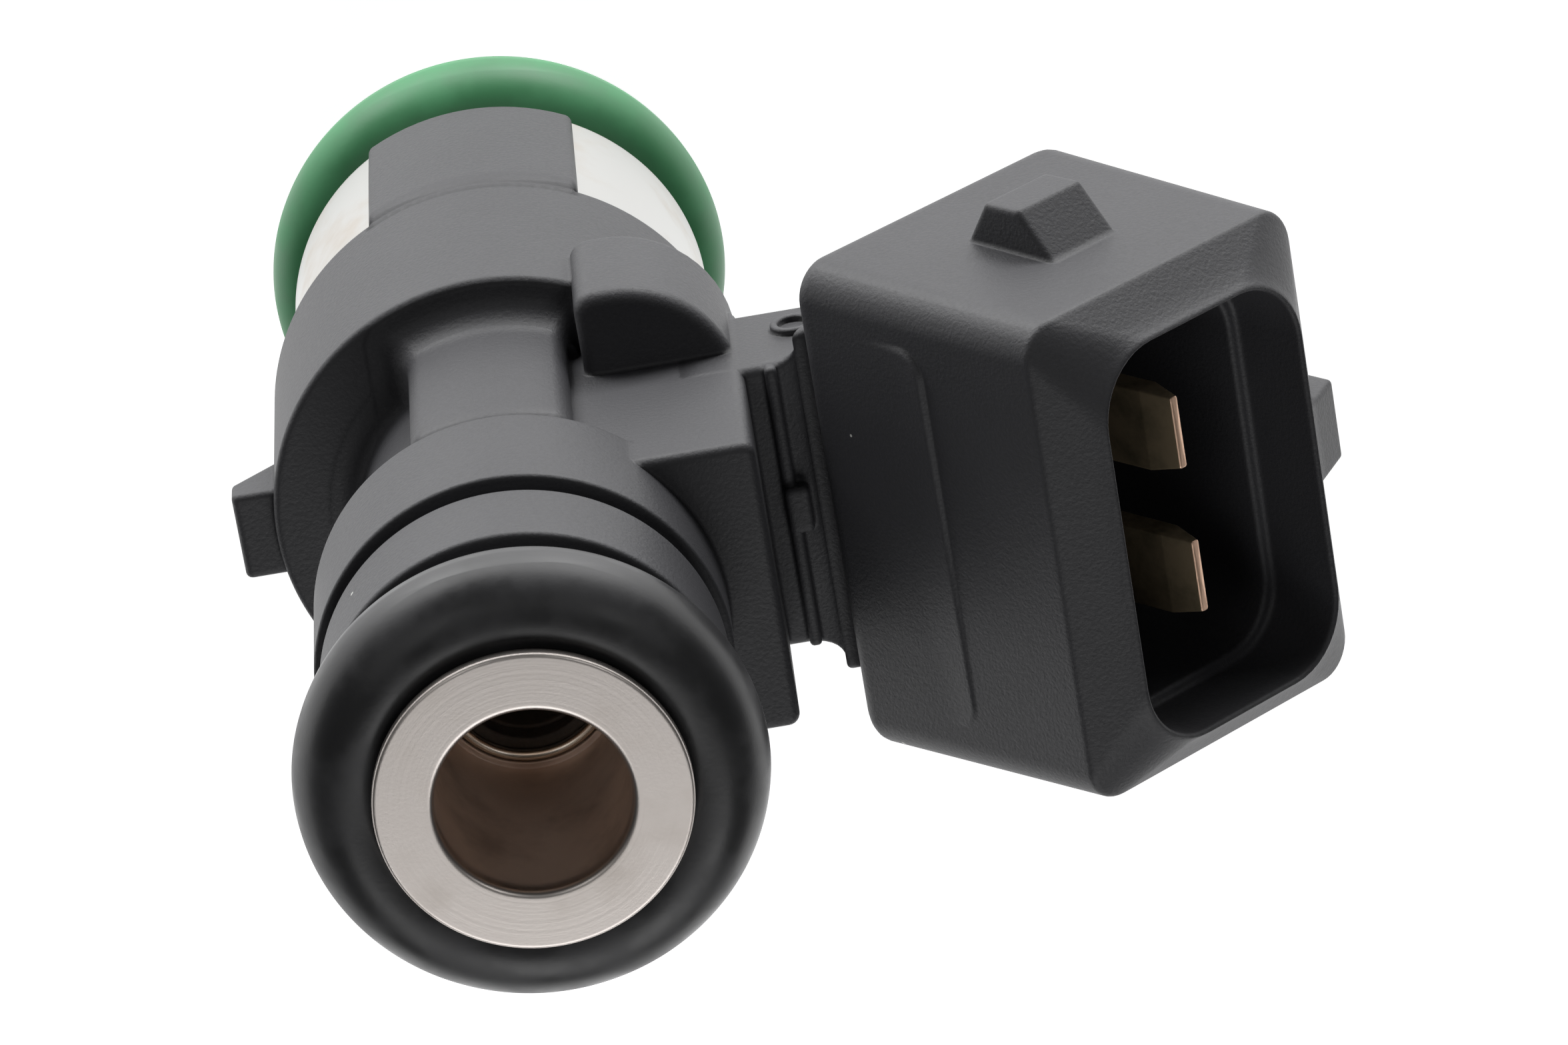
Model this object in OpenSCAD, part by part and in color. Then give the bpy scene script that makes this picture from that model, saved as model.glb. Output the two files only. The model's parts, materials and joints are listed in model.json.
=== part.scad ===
// Port fuel injector with a two-pin electrical socket.
// Millimetres. +Z runs up the fuel axis, from the nozzle tip at z = 0 to the inlet face.
// The socket leans out over +X. The injector is the same on both sides of the XZ plane.

/* [Overall] */
// Length from the nozzle tip to the inlet face
overall_length = 51; // [50.5:0.1:52]
// Rounding of circles
$fn = 96; // [48:8:128]

/* [Inlet end] */
// Radius of the fuel bore
inlet_bore_r = 3.0; // [2.9:0.02:3.04]
// Radius of the bore below the filter ring's rim
lower_bore_r = 2.8; // [2.7:0.01:2.82]
// Outer radius of the inlet tube under its O-ring
inlet_tube_r = 3.76; // [3.7:0.02:3.8]
// Radius of the flared lip
inlet_lip_r = 4.89; // [4.6:0.01:5.1]
// Thickness of the flared lip
inlet_lip_h = 0.5; // [0.4:0.05:0.7]
// Wire radius of both O-rings
o_ring_wire_r = 1.765; // [1.75:0.005:1.765]

/* [Nozzle end] */
// Radius of the steel nozzle tip
tip_r = 3.6; // [3.3:0.05:3.9]
// Length of the nozzle tip below its moulded cap
tip_h = 1.2; // [0.8:0.05:1.3]
// Radius of the seat that carries the nozzle O-ring
nozzle_seat_r = 4.45; // [4.3:0.01:4.6]
// Outer radius of the cap that keeps the nozzle O-ring on
retainer_r = 6.4; // [5.6:0.1:6.8]

/* [Valve] */
// Radius of the valve ball
ball_r = 1.5; // [1.4:0.05:1.5]
// Height of the ball's centre while the valve is shut
ball_z = 2.793; // [2.79:0.001:2.8]
// Lift of the valve before the armature meets the pole
valve_lift = 0.1; // [0.06:0.01:0.12]
// Radial clearance of the armature in its chamber
armature_clearance = 0.05; // [0.03:0.01:0.1]

/* [Solenoid] */
// Outer radius of the steel coil housing
housing_r = 7.2; // [7.1:0.05:7.3]
// Wall of the coil housing
housing_wall = 0.6; // [0.5:0.05:0.65]
// Height of the coil housing's lower face
housing_z0 = 8.6; // [8.4:0.05:8.6]
// Height of the coil housing's upper rim
housing_z1 = 25.6; // [25.4:0.05:25.6]

/* [Overmould] */
// Radius of the skirt over the coil housing
skirt_r = 7.9; // [7.8:0.05:8.2]
// Height of the skirt's lower edge
skirt_z0 = 18; // [16:0.1:20]
// Height of the skirt's upper face
skirt_z1 = 27.0; // [26.8:0.1:27.4]
// Radius of the neck between skirt and collar
neck_r = 5.0; // [4.8:0.1:5.6]
// Radius of the large collar
collar_r = 6.6; // [6.5:0.05:6.8]
// Radius of the ring above the clip groove
seal_ring_r = 6.43; // [6.3:0.01:6.5]
// Radius at the bottom of the clip groove
clip_groove_r = 5.6; // [5.3:0.05:5.8]

/* [Socket] */
// Lean of the socket from the fuel axis, in degrees
socket_lean = 40; // [38:0.5:42]
// Width of the socket across its blades' flat sides
socket_w = 11.85; // [11.6:0.05:12.2]
// Length of the socket along Y
socket_l = 16.42; // [16.2:0.02:16.8]
// Depth of the socket's straight outside
socket_h = 10.9; // [10.7:0.1:11.1]
// Width of the plug opening
mouth_w = 8.6; // [8.4:0.1:8.8]
// Length of the plug opening
mouth_l = 13.4; // [13.2:0.1:13.6]
// Distance between the two blades
blade_pitch = 5.0; // [4.9:0.1:5.1]
// Width of a blade
blade_w = 2.8; // [2.6:0.1:2.9]
// Thickness of a blade
blade_t = 0.8; // [0.6:0.1:0.8]

/* [Hidden] */

// Slack that keeps one cut clear of the next face.
eps = 0.5;

// Inlet end, counted down from the inlet face.
inlet_z = overall_length;
lip_z = inlet_z - inlet_lip_h;
inlet_ring_z = lip_z - o_ring_wire_r - 0.035;
seal_seat_z = inlet_ring_z - o_ring_wire_r - 0.035;
seal_seat_r = 5.2;
seal_ring_z1 = inlet_z - 5.76;
seal_ring_z0 = inlet_z - 9.32;
collar_z1 = inlet_z - 10.05;
collar_z0 = inlet_z - 15.2;

// Nozzle end.
retainer_z0 = tip_h;
retainer_z1 = 3.8;
retainer_seat_r = 4.0;
nozzle_shoulder_r = 6.0;
nozzle_shoulder_z = retainer_z1 + 2 * o_ring_wire_r + 0.07;
nozzle_ring_z = (retainer_z1 + nozzle_shoulder_z) / 2;
nozzle_ring_r = nozzle_seat_r + 0.005 + o_ring_wire_r;

// Valve body and its seat pocket.
seat_pocket_r = 2.8;
seat_pocket_z1 = 4.4;
orifice_z0 = 0.55;
orifice_r = 0.12;
orifice_at = 0.4;
seat_z0 = 0.75;
seat_z1 = 3.0;
seat_outlet_r = 0.7;
seat_cone_r = 1.7;
seat_cone_z = 2.35;
guide_z1 = 3.8;
guide_clearance = 0.05;
guide_hole_r = 0.35;
guide_hole_at = 2.15;
needle_room_r = 2.2;
chamber_r = 2.8;
chamber_z0 = 12;
valve_body_z1 = 21;
slip = 0.02;

// Armature, needle and pole.
armature_z0 = 13.2;
pole_z0 = 21.9;
pole_stop_gap = 0.02;
armature_z1 = pole_z0 - valve_lift - pole_stop_gap;
needle_r = 1.0;
needle_bore_r = 0.6;
needle_overlap = 0.8;
needle_z1 = 15.2;
needle_port_r = 0.35;
needle_port_z = 6;
spring_pocket_r = 1.5;
spring_pocket_z = 16.5;
pole_shoulder_z = 30;
pole_z1 = 33;
pole_bore_r = 1.5;
ring_r = 4.25;
ring_z0 = 18.6;
ring_z1 = 25;

// Spring and the sleeve that loads it.
spring_wire_r = 0.2;
spring_mean_r = 1.15;
spring_turns = 7;
spring_sides = 8;
spring_steps_per_turn = 14;
sleeve_z0 = 24.5;
sleeve_z1 = 32;
sleeve_bore_r = 0.8;

// Inlet filter.
filter_ring_z1 = inlet_z - 9.2;
filter_ring_z0 = filter_ring_z1 - 3;
filter_bore_r = 2.45;
filter_frame_r = filter_bore_r - 0.01;
filter_rib_r = 2.1;
filter_mesh_wall = 0.12;
filter_z0 = 33.9;
filter_cap_h = 0.5;
filter_ribs = 4;

// Solenoid.
bobbin_bore_r = ring_r + 0.05;
bobbin_barrel_r = 4.8;
bobbin_flange_r = housing_r - housing_wall - 0.1;
housing_floor_z = housing_z0 + 1.0;
bobbin_z0 = housing_floor_z + 0.2;
bobbin_z1 = 23.8;
flange_h = 1.1;
winding_r = 6.3;
washer_notch_x = 3.9;
washer_notch_y = 4.3;
post_x = 5.3;
post_l = 1.7;
post_w = 2.4;

// Overmould features beside the axis.
tongue_half = 3.55;
tongue_r = housing_r + 0.4;
tongue_z0 = 9.4;
rib_half = 2.6;
rib_r = 6.4;
lug_x = -9.2;
lug_half = 1.5;
lug_z0 = 24.0;
lug_z1 = 26.3;
lug_slope = 1.2;
bulge_x0 = 3.1;
bulge_x1 = 8.1;
bulge_half = 7.75;
bulge_corner_r = 3.9;
bulge_z0 = 24.5;
bulge_z1 = 29.7;
tower_x1 = 8.2;
tower_edge_r = 0.5;
tower_half = 4.95;
tower_z1 = 37.6;
web_z0 = 26.4;
web_z1 = 31.3;
web_rib_x = 8.85;
web_rib_w = 0.2;
web_rib_h = 0.3;
web_nub_w = 0.5;
web_nub_half = 0.8;
boss_r = 0.5;
boss_at = [2.7, 4.9];
boss_h = 1.2;
mark_r = 0.75;
mark_wall = 0.25;
mark_h = 0.12;
mark_at = [10, 28.3];

// Socket: local z runs up the plug axis and local x across the blades.
// Its local zero is the near corner where the straight outside ends and the bevel begins.
socket_x = 16.98;
socket_z = inlet_z - 10.55;
socket_corner_r = 1.2;
socket_lip_h = 1.6;
socket_lip_in = 1.45;
socket_back_in = 0.5;
socket_draft = 0.35;
socket_far_draft = 0.4;
mouth_r = 2.3;
ledge_z = -1.2;
ledge_in = 0.4;
socket_floor_z = -9.3;
panel_h = 0.2;
panel_half = 6.6;
panel_z1 = -5.0;
nub_h = 1.65;
nub_base = [-6.96, -3.0];
nub_top = [-5.9, -4.4];
nub_w = 2.9;
side_nub_h = 1.4;
side_nub_half = 1.4;
side_nub_z = [-2.2, 0.5];
blade_tip_z = 0;
blade_chamfer = 0.25;
run_z = 28.5;
tail_z = bobbin_z1 - 0.8;
tail_w = 1.4;

// A plain ring between two heights.
module ring(r_out, r_in, z0, z1) {
    difference() {
        translate([0, 0, z0]) cylinder(r = r_out, h = z1 - z0);
        translate([0, 0, z0 - eps]) cylinder(r = r_in, h = z1 - z0 + 2 * eps);
    }
}

// A rectangle centred on zero with round corners.
module round_rect(w, l, r) {
    square([w - 2 * r, l], center = true);
    square([w, l - 2 * r], center = true);
    for (x = [-1, 1], y = [-1, 1])
        translate([x * (w / 2 - r), y * (l / 2 - r)]) circle(r = r);
}

// Puts socket features in place: local x across the blades, local z up the plug axis.
module in_socket_frame() {
    translate([socket_x, 0, socket_z]) rotate([0, socket_lean, 0]) children();
}

// Extrudes an XZ outline along Y, between y = -half and y = +half.
module slab_xz(points, half) {
    rotate([90, 0, 0]) translate([0, 0, -half]) linear_extrude(2 * half) polygon(points);
}

// Extrudes a YZ outline along X, between two x values. The outline's points are [y, z].
module slab_yz(points, x0, x1) {
    translate([x0, 0, 0]) rotate([90, 0, 90]) linear_extrude(x1 - x0) polygon(points);
}

// ---- Overmould ----

// The turned part of the moulding: skirt, neck, collar, clip groove, seal ring and O-ring seat.
module turned_body() {
    edge = 0.15;
    rotate_extrude() polygon([
        [0, skirt_z0],
        [skirt_r, skirt_z0],
        [skirt_r, skirt_z1 - edge], [skirt_r - edge, skirt_z1],
        [neck_r + 0.8, skirt_z1], [neck_r + 0.25, skirt_z1 + 0.25], [neck_r, skirt_z1 + 0.8],
        [neck_r, collar_z0],
        [collar_r - edge, collar_z0], [collar_r, collar_z0 + edge],
        [collar_r, collar_z1 - edge], [collar_r - edge, collar_z1],
        [clip_groove_r, collar_z1], [clip_groove_r, seal_ring_z0],
        [seal_ring_r - edge, seal_ring_z0], [seal_ring_r, seal_ring_z0 + edge],
        [seal_ring_r, seal_ring_z1 - edge], [seal_ring_r - edge, seal_ring_z1],
        [seal_seat_r, seal_ring_z1], [seal_seat_r, seal_seat_z],
        [0, seal_seat_z]
    ]);
}

// The two flat-sided tongues that run down the coil housing.
module tongues() {
    intersection() {
        translate([0, 0, tongue_z0]) cylinder(r = tongue_r, h = skirt_z0 - tongue_z0 + 1);
        translate([-tongue_half, -tongue_r - 1, tongue_z0])
            cube([2 * tongue_half, 2 * tongue_r + 2, skirt_z0 - tongue_z0 + 1]);
    }
}

// The ribs that join the collar to the skirt, above and below the neck.
module neck_ribs() {
    intersection() {
        translate([0, 0, skirt_z1 - 1]) cylinder(r = rib_r, h = collar_z0 - skirt_z1 + 2);
        translate([-rib_half, -rib_r - 1, skirt_z1 - 1])
            cube([2 * rib_half, 2 * rib_r + 2, collar_z0 - skirt_z1 + 2]);
    }
}

// The locating lug opposite the socket, with a sloping lower end.
module lug() {
    slab_xz([
        [-skirt_r + 1, lug_z0 - 0.6], [-skirt_r + 0.2, lug_z0 - 0.6],
        [lug_x, lug_z0 + lug_slope], [lug_x, lug_z1], [-skirt_r + 1, lug_z1]
    ], lug_half);
}

// The rounded bulge over the terminals' feet.
module bulge() {
    w = bulge_x1 - bulge_x0;
    translate([0, 0, bulge_z0]) linear_extrude(bulge_z1 - bulge_z0) {
        translate([bulge_x0, -bulge_half + bulge_corner_r])
            square([w, 2 * (bulge_half - bulge_corner_r)]);
        translate([bulge_x0, -bulge_half])
            square([w - bulge_corner_r, 2 * bulge_half]);
        intersection() {
            translate([bulge_x0, -bulge_half]) square([w, 2 * bulge_half]);
            for (y = [-1, 1])
                translate([bulge_x1 - bulge_corner_r, y * (bulge_half - bulge_corner_r)])
                    circle(r = bulge_corner_r);
        }
    }
}

// The square tower around the terminals, the web behind it and the web's small ribs.
module tower_and_web() {
    translate([tower_x1 / 2, 0, skirt_z1 - 1])
        linear_extrude(tower_z1 - skirt_z1 + 1)
            round_rect(tower_x1, 2 * tower_half, tower_edge_r);
    slab_xz([
        [tower_x1 - 1, web_z0], [web_back_x(web_z0) + 0.5, web_z0],
        [web_back_x(web_z1) + 0.5, web_z1], [tower_x1 - 1, web_z1]
    ], tower_half);
    translate([web_rib_x, -tower_half, web_z1 - 1])
        cube([web_rib_w, 2 * tower_half, 1 + web_rib_h]);
    translate([web_rib_x, -web_nub_half, web_z1 - 1])
        cube([web_nub_w, 2 * web_nub_half, 1 + 2 * web_rib_h]);
}

// Small round marks: a boss beside each neck rib and a raised ring on each side of the web.
module mould_marks() {
    for (side = [0, 1]) mirror([0, side, 0]) {
        translate([boss_at.x, boss_at.y, skirt_z1 - 0.5]) cylinder(r = boss_r, h = boss_h + 0.5);
        translate([mark_at.x, tower_half - 0.5, mark_at.y]) rotate([-90, 0, 0]) difference() {
            cylinder(r = mark_r, h = 0.5 + mark_h);
            translate([0, 0, 0.5]) cylinder(r = mark_r - mark_wall, h = 1);
        }
    }
}

// Where the socket's back face stands at a height.
function web_back_x(z) = socket_x - socket_h * sin(socket_lean)
    + (socket_z - socket_h * cos(socket_lean) - z) / tan(socket_lean);

// One end wall's outline as [y, z], from the back to the lip. The wall leans out towards the back.
socket_end_outline = [
    [socket_l / 2 + socket_draft - socket_back_in, -socket_h],
    [socket_l / 2 + socket_draft, -socket_h + socket_back_in],
    [socket_l / 2, 0],
    [socket_l / 2 - socket_lip_in, socket_lip_h]
];

function reversed(list) = [for (i = [len(list) - 1 : -1 : 0]) list[i]];

// The socket's outside: a straight box with round edges, a bevel round the mouth and a soft back.
module socket_outside() {
    intersection() {
        translate([(socket_w + socket_far_draft) / 2, 0, -socket_h])
            linear_extrude(socket_h + socket_lip_h) round_rect(
                socket_w + socket_far_draft, socket_l + 2 * socket_draft, socket_corner_r
            );
        slab_xz([
            [socket_back_in, -socket_h], [socket_w + socket_far_draft - socket_back_in, -socket_h],
            [socket_w + socket_far_draft, -socket_h + socket_back_in], [socket_w, 0],
            [socket_w - socket_lip_in, socket_lip_h], [socket_lip_in, socket_lip_h],
            [0, 0], [0, -socket_h + socket_back_in]
        ], socket_l);
        slab_yz([
            for (side = [1, -1], point = side > 0 ? socket_end_outline : reversed(socket_end_outline))
                [side * point.x, point.y]
        ], -1, socket_w + 1);
    }
}

// The latch nubs: one on each end wall and one on the outer long wall.
module socket_nubs() {
    for (side = [0, 1])
        mirror([0, side, 0])
            slab_yz([
                [socket_l / 2 - 1, nub_base[0]], [socket_l / 2, nub_base[0]],
                [socket_l / 2 + nub_h, nub_top[0]], [socket_l / 2 + nub_h, nub_top[1]],
                [socket_l / 2, nub_base[1]], [socket_l / 2 - 1, nub_base[1]]
            ], socket_w / 2 - nub_w / 2, socket_w / 2 + nub_w / 2);
    slab_xz([
        [socket_w - 1, side_nub_z[0] - 0.8], [socket_w, side_nub_z[0] - 0.8],
        [socket_w + side_nub_h, side_nub_z[0]], [socket_w + side_nub_h, side_nub_z[1] - 0.9],
        [socket_w - 0.5, side_nub_z[1]], [socket_w - 1, side_nub_z[1]]
    ], side_nub_half);
}

// The plug cavity: a wide mouth, a ledge and a slightly narrower well.
module socket_cavity() {
    translate([socket_w / 2, 0, ledge_z])
        linear_extrude(socket_lip_h - ledge_z + eps) round_rect(mouth_w, mouth_l, mouth_r);
    translate([socket_w / 2, 0, socket_floor_z])
        linear_extrude(ledge_z - socket_floor_z + eps)
            round_rect(mouth_w - 2 * ledge_in, mouth_l - 2 * ledge_in, mouth_r - ledge_in);
}

// The shallow raised panel on the socket's inner long wall.
module socket_panel() {
    translate([-panel_h, -panel_half, -socket_h + socket_back_in])
        cube([1, 2 * panel_half, panel_z1 + socket_h - socket_back_in]);
}

module overmould() {
    color("#39393b") difference() {
        union() {
            turned_body();
            tongues();
            neck_ribs();
            lug();
            bulge();
            tower_and_web();
            mould_marks();
            in_socket_frame() {
                socket_outside();
                socket_panel();
                socket_nubs();
            }
        }
        translate([0, 0, tongue_z0 - eps]) cylinder(r = housing_r, h = housing_z1 - tongue_z0 + eps);
        translate([0, 0, housing_z1 - eps]) cylinder(r = inlet_tube_r, h = inlet_z);
        in_socket_frame() socket_cavity();
        terminal(1);
        terminal(-1);
    }
}

// ---- Fuel path ----

module inlet_tube() {
    edge = 0.2;
    color("#c9c4bd") difference() {
        rotate_extrude() polygon([
            [0, pole_shoulder_z], [inlet_tube_r, pole_shoulder_z],
            [inlet_tube_r, lip_z], [inlet_lip_r - edge / 2, lip_z], [inlet_lip_r, lip_z + edge / 2],
            [inlet_lip_r, inlet_z - edge], [inlet_lip_r - edge, inlet_z], [0, inlet_z]
        ]);
        translate([0, 0, pole_shoulder_z - eps])
            cylinder(r = lower_bore_r, h = inlet_z - pole_shoulder_z);
        translate([0, 0, filter_ring_z1])
            cylinder(r = inlet_bore_r, h = inlet_z - filter_ring_z1 + eps);
        translate([0, 0, inlet_z - edge])
            cylinder(r1 = inlet_bore_r, r2 = inlet_bore_r + 2 * edge, h = 2 * edge);
    }
}

// A torus around the fuel axis.
module o_ring(mean_r, z) {
    translate([0, 0, z]) rotate_extrude() translate([mean_r, 0]) circle(r = o_ring_wire_r, $fn = 48);
}

module inlet_o_ring() {
    color("#1c1c1e") o_ring(inlet_tube_r + o_ring_wire_r, inlet_ring_z);
}

module nozzle_o_ring() {
    color("#2f8a58") o_ring(nozzle_ring_r, nozzle_ring_z);
}

module filter_ring() {
    color("#b8a27a") ring(lower_bore_r - slip, filter_bore_r, filter_ring_z0, filter_ring_z1);
}

// The basket: a collar inside the filter ring, ribs down the outside and a closed foot.
module filter_frame() {
    color("#d9d4c4") {
        ring(filter_frame_r, filter_rib_r, filter_ring_z0 + 0.3, filter_ring_z1 - 0.3);
        intersection() {
            ring(filter_frame_r, filter_rib_r, filter_z0, filter_ring_z0 + 0.3);
            for (i = [0 : filter_ribs / 2 - 1])
                rotate([0, 0, i * 360 / filter_ribs])
                    translate([-3, -0.4, filter_z0]) cube([6, 0.8, 8]);
        }
        translate([0, 0, filter_z0]) cylinder(r = filter_frame_r, h = filter_cap_h);
    }
}

module filter_mesh() {
    mesh_r = filter_rib_r - 0.01;
    color("#e8e6de")
        ring(mesh_r, mesh_r - filter_mesh_wall, filter_z0 + filter_cap_h, filter_ring_z1 - 1);
}

module adjusting_sleeve() {
    color("#b9bcc0") difference() {
        ring(pole_bore_r - slip, sleeve_bore_r, sleeve_z0, sleeve_z1);
        translate([0, -0.15, sleeve_z0 - eps]) cube([pole_bore_r + 1, 0.3, sleeve_z1 - sleeve_z0 + 2 * eps]);
    }
}

module pole_piece() {
    color("#a7a9ac") {
        ring(inlet_tube_r - slip, pole_bore_r, pole_z0, pole_shoulder_z);
        ring(lower_bore_r - slip, pole_bore_r, pole_shoulder_z, pole_z1);
    }
}

module nonmagnetic_ring() {
    color("#cfcfd2") ring(ring_r, inlet_tube_r + slip, ring_z0, ring_z1);
}

// ---- Spring: a round wire swept along a helix, with its ends closed ----

spring_z0 = spring_pocket_z + spring_wire_r + 0.02;
spring_z1 = sleeve_z0 - spring_wire_r - 0.02;
spring_steps = spring_turns * spring_steps_per_turn;

// A point on the wire's skin: step along the helix, angle around the wire.
function spring_point(step, side) =
    let (
        turn = 360 * step / spring_steps_per_turn,
        around = 360 * side / spring_sides,
        r = spring_mean_r + spring_wire_r * cos(around),
        z = spring_z0 + (spring_z1 - spring_z0) * step / spring_steps + spring_wire_r * sin(around)
    )
    [r * cos(turn), r * sin(turn), z];

module return_spring() {
    points = [for (s = [0 : spring_steps], k = [0 : spring_sides - 1]) spring_point(s, k)];
    sides = [
        for (s = [0 : spring_steps - 1], k = [0 : spring_sides - 1])
            let (
                a = s * spring_sides + k,
                b = s * spring_sides + (k + 1) % spring_sides
            )
            [a, b, b + spring_sides, a + spring_sides]
    ];
    first_cap = [for (k = [spring_sides - 1 : -1 : 0]) k];
    last_cap = [for (k = [0 : spring_sides - 1]) spring_steps * spring_sides + k];
    color("#c4c6ca") polyhedron(points, concat([first_cap], sides, [last_cap]));
}

// ---- Valve ----

module armature() {
    color("#9ea1a5") difference() {
        translate([0, 0, armature_z0])
            cylinder(r = chamber_r - armature_clearance, h = armature_z1 - armature_z0);
        translate([0, 0, armature_z0 - eps]) cylinder(r = needle_r, h = needle_z1 - armature_z0 + eps);
        translate([0, 0, armature_z0]) cylinder(r = needle_bore_r, h = armature_z1 - armature_z0);
        translate([0, 0, spring_pocket_z])
            cylinder(r = spring_pocket_r, h = armature_z1 - spring_pocket_z + eps);
    }
}

module needle_tube() {
    color("#b4b6ba") difference() {
        ring(needle_r, needle_bore_r, ball_z + needle_overlap, needle_z1);
        translate([0, 0, ball_z]) sphere(r = ball_r);
        for (a = [0, 90])
            rotate([90, 0, a]) translate([0, needle_port_z, -2 * needle_r])
                cylinder(r = needle_port_r, h = 4 * needle_r, $fn = 32);
    }
}

module valve_ball() {
    color("#d8dade") translate([0, 0, ball_z]) sphere(r = ball_r);
}

// The disc that keeps the ball on the axis, with holes for the fuel.
module guide_disc() {
    color("#aeb0b4") difference() {
        ring(seat_pocket_r - slip, ball_r + guide_clearance, seat_z1, guide_z1);
        for (i = [0 : 5])
            rotate([0, 0, i * 60]) translate([guide_hole_at, 0, seat_z1 - eps])
                cylinder(r = guide_hole_r, h = guide_z1 - seat_z1 + 2 * eps, $fn = 32);
    }
}

// The seat: a cone that the ball shuts against, over a short outlet.
module seat_body() {
    color("#b2b4b8") rotate_extrude() polygon([
        [seat_outlet_r, seat_z0], [seat_pocket_r - slip, seat_z0], [seat_pocket_r - slip, seat_z1],
        [seat_cone_r, seat_z1], [seat_cone_r, seat_cone_z],
        [seat_outlet_r, seat_cone_z - seat_cone_r + seat_outlet_r]
    ]);
}

module orifice_plate() {
    color("#c2c4c8") difference() {
        translate([0, 0, orifice_z0]) cylinder(r = seat_pocket_r - slip, h = seat_z0 - orifice_z0);
        for (i = [0 : 3])
            rotate([0, 0, 45 + i * 90]) translate([orifice_at, 0, 0])
                cylinder(r = orifice_r, h = 2, $fn = 24);
    }
}

module valve_body() {
    color("#b7b9bc") difference() {
        rotate_extrude() polygon([
            [0, 0], [tip_r, 0], [tip_r, retainer_z0],
            [retainer_seat_r, retainer_z0], [retainer_seat_r, retainer_z1],
            [nozzle_seat_r, retainer_z1], [nozzle_seat_r, nozzle_shoulder_z],
            [nozzle_shoulder_r, nozzle_shoulder_z], [nozzle_shoulder_r, housing_z0],
            [nozzle_seat_r, housing_z0], [nozzle_seat_r, housing_floor_z],
            [inlet_tube_r, housing_floor_z], [inlet_tube_r, valve_body_z1], [0, valve_body_z1]
        ]);
        translate([0, 0, -eps]) cylinder(r = seat_pocket_r, h = seat_pocket_z1 + eps);
        translate([0, 0, 1]) cylinder(r = needle_room_r, h = chamber_z0);
        translate([0, 0, chamber_z0]) cylinder(r = chamber_r, h = valve_body_z1 - chamber_z0 + eps);
    }
}

module o_ring_retainer() {
    color("#2a2a2c") difference() {
        rotate_extrude() polygon([
            [0, retainer_z0], [retainer_r - 1.4, retainer_z0], [retainer_r, retainer_z0 + 1.4],
            [retainer_r, retainer_z1], [0, retainer_z1]
        ]);
        translate([0, 0, retainer_z0 - eps])
            cylinder(r = retainer_seat_r + 0.01, h = retainer_z1 - retainer_z0 + 2 * eps);
    }
}

// ---- Solenoid ----

module coil_housing() {
    color("#d2d2d0") {
        ring(housing_r, housing_r - housing_wall, housing_floor_z, housing_z1);
        ring(housing_r, nozzle_seat_r + 0.01, housing_z0, housing_floor_z);
    }
}

module coil_bobbin() {
    color("#5a4a36") difference() {
        union() {
            ring(bobbin_flange_r, bobbin_bore_r, bobbin_z0, bobbin_z0 + flange_h);
            ring(bobbin_barrel_r, bobbin_bore_r, bobbin_z0, bobbin_z1);
            ring(bobbin_flange_r, bobbin_bore_r, bobbin_z1 - flange_h, bobbin_z1);
            intersection() {
                ring(bobbin_flange_r, bobbin_bore_r, bobbin_z1 - flange_h, housing_z1);
                for (y = [-1, 1])
                    translate([post_x - post_l / 2, y * blade_pitch / 2 - post_w / 2, bobbin_z0])
                        cube([post_l, post_w, housing_z1 - bobbin_z0]);
            }
        }
        terminal(1);
        terminal(-1);
    }
}

module coil_winding() {
    color("#b06a3a") ring(winding_r, bobbin_barrel_r, bobbin_z0 + flange_h, bobbin_z1 - flange_h);
}

module flux_washer() {
    color("#9b9da0") difference() {
        ring(housing_r - housing_wall - 0.02, bobbin_bore_r, bobbin_z1, housing_z1);
        translate([washer_notch_x, -washer_notch_y, bobbin_z1 - eps])
            cube([10, 2 * washer_notch_y, housing_z1 - bobbin_z1 + 2 * eps]);
    }
}

// ---- Terminals: a tail in the bobbin, a run through the web and a blade in the socket ----

// Local z in the socket at which the plug axis crosses the terminal's run.
bend_z = -(socket_z - socket_w / 2 * sin(socket_lean) - run_z) / cos(socket_lean);
bend_x = socket_x + socket_w / 2 * cos(socket_lean) + bend_z * sin(socket_lean);
half_t = blade_t / 2;
// How far the inside and the outside of the bend sit from its centre along the run.
bend_shift = half_t * tan((90 - socket_lean) / 2);

module terminal(side) {
    y = side * blade_pitch / 2;
    translate([0, y, 0]) {
        translate([post_x - half_t, -tail_w / 2, tail_z])
            cube([blade_t, tail_w, run_z - half_t - tail_z]);
        slab_xz([
            [post_x - half_t, run_z - half_t], [bend_x + bend_shift, run_z - half_t],
            [bend_x - bend_shift, run_z + half_t], [post_x - half_t, run_z + half_t]
        ], blade_w / 2);
    }
    in_socket_frame() translate([0, y, 0]) intersection() {
        slab_yz([
            [-blade_w / 2, bend_z - 1], [blade_w / 2, bend_z - 1],
            [blade_w / 2, blade_tip_z - blade_chamfer], [blade_w / 2 - blade_chamfer, blade_tip_z],
            [-blade_w / 2 + blade_chamfer, blade_tip_z], [-blade_w / 2, blade_tip_z - blade_chamfer]
        ], socket_w / 2 - half_t, socket_w / 2 + half_t);
        slab_xz([
            [socket_w / 2 - half_t, bend_z - bend_shift], [socket_w / 2 + half_t, bend_z + bend_shift],
            [socket_w / 2 + half_t, blade_tip_z], [socket_w / 2 - half_t, blade_tip_z]
        ], blade_w);
    }
}

module terminal_upper() {
    color("#b98a5a") terminal(1);
}

module terminal_lower() {
    color("#b98a5a") terminal(-1);
}

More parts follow.
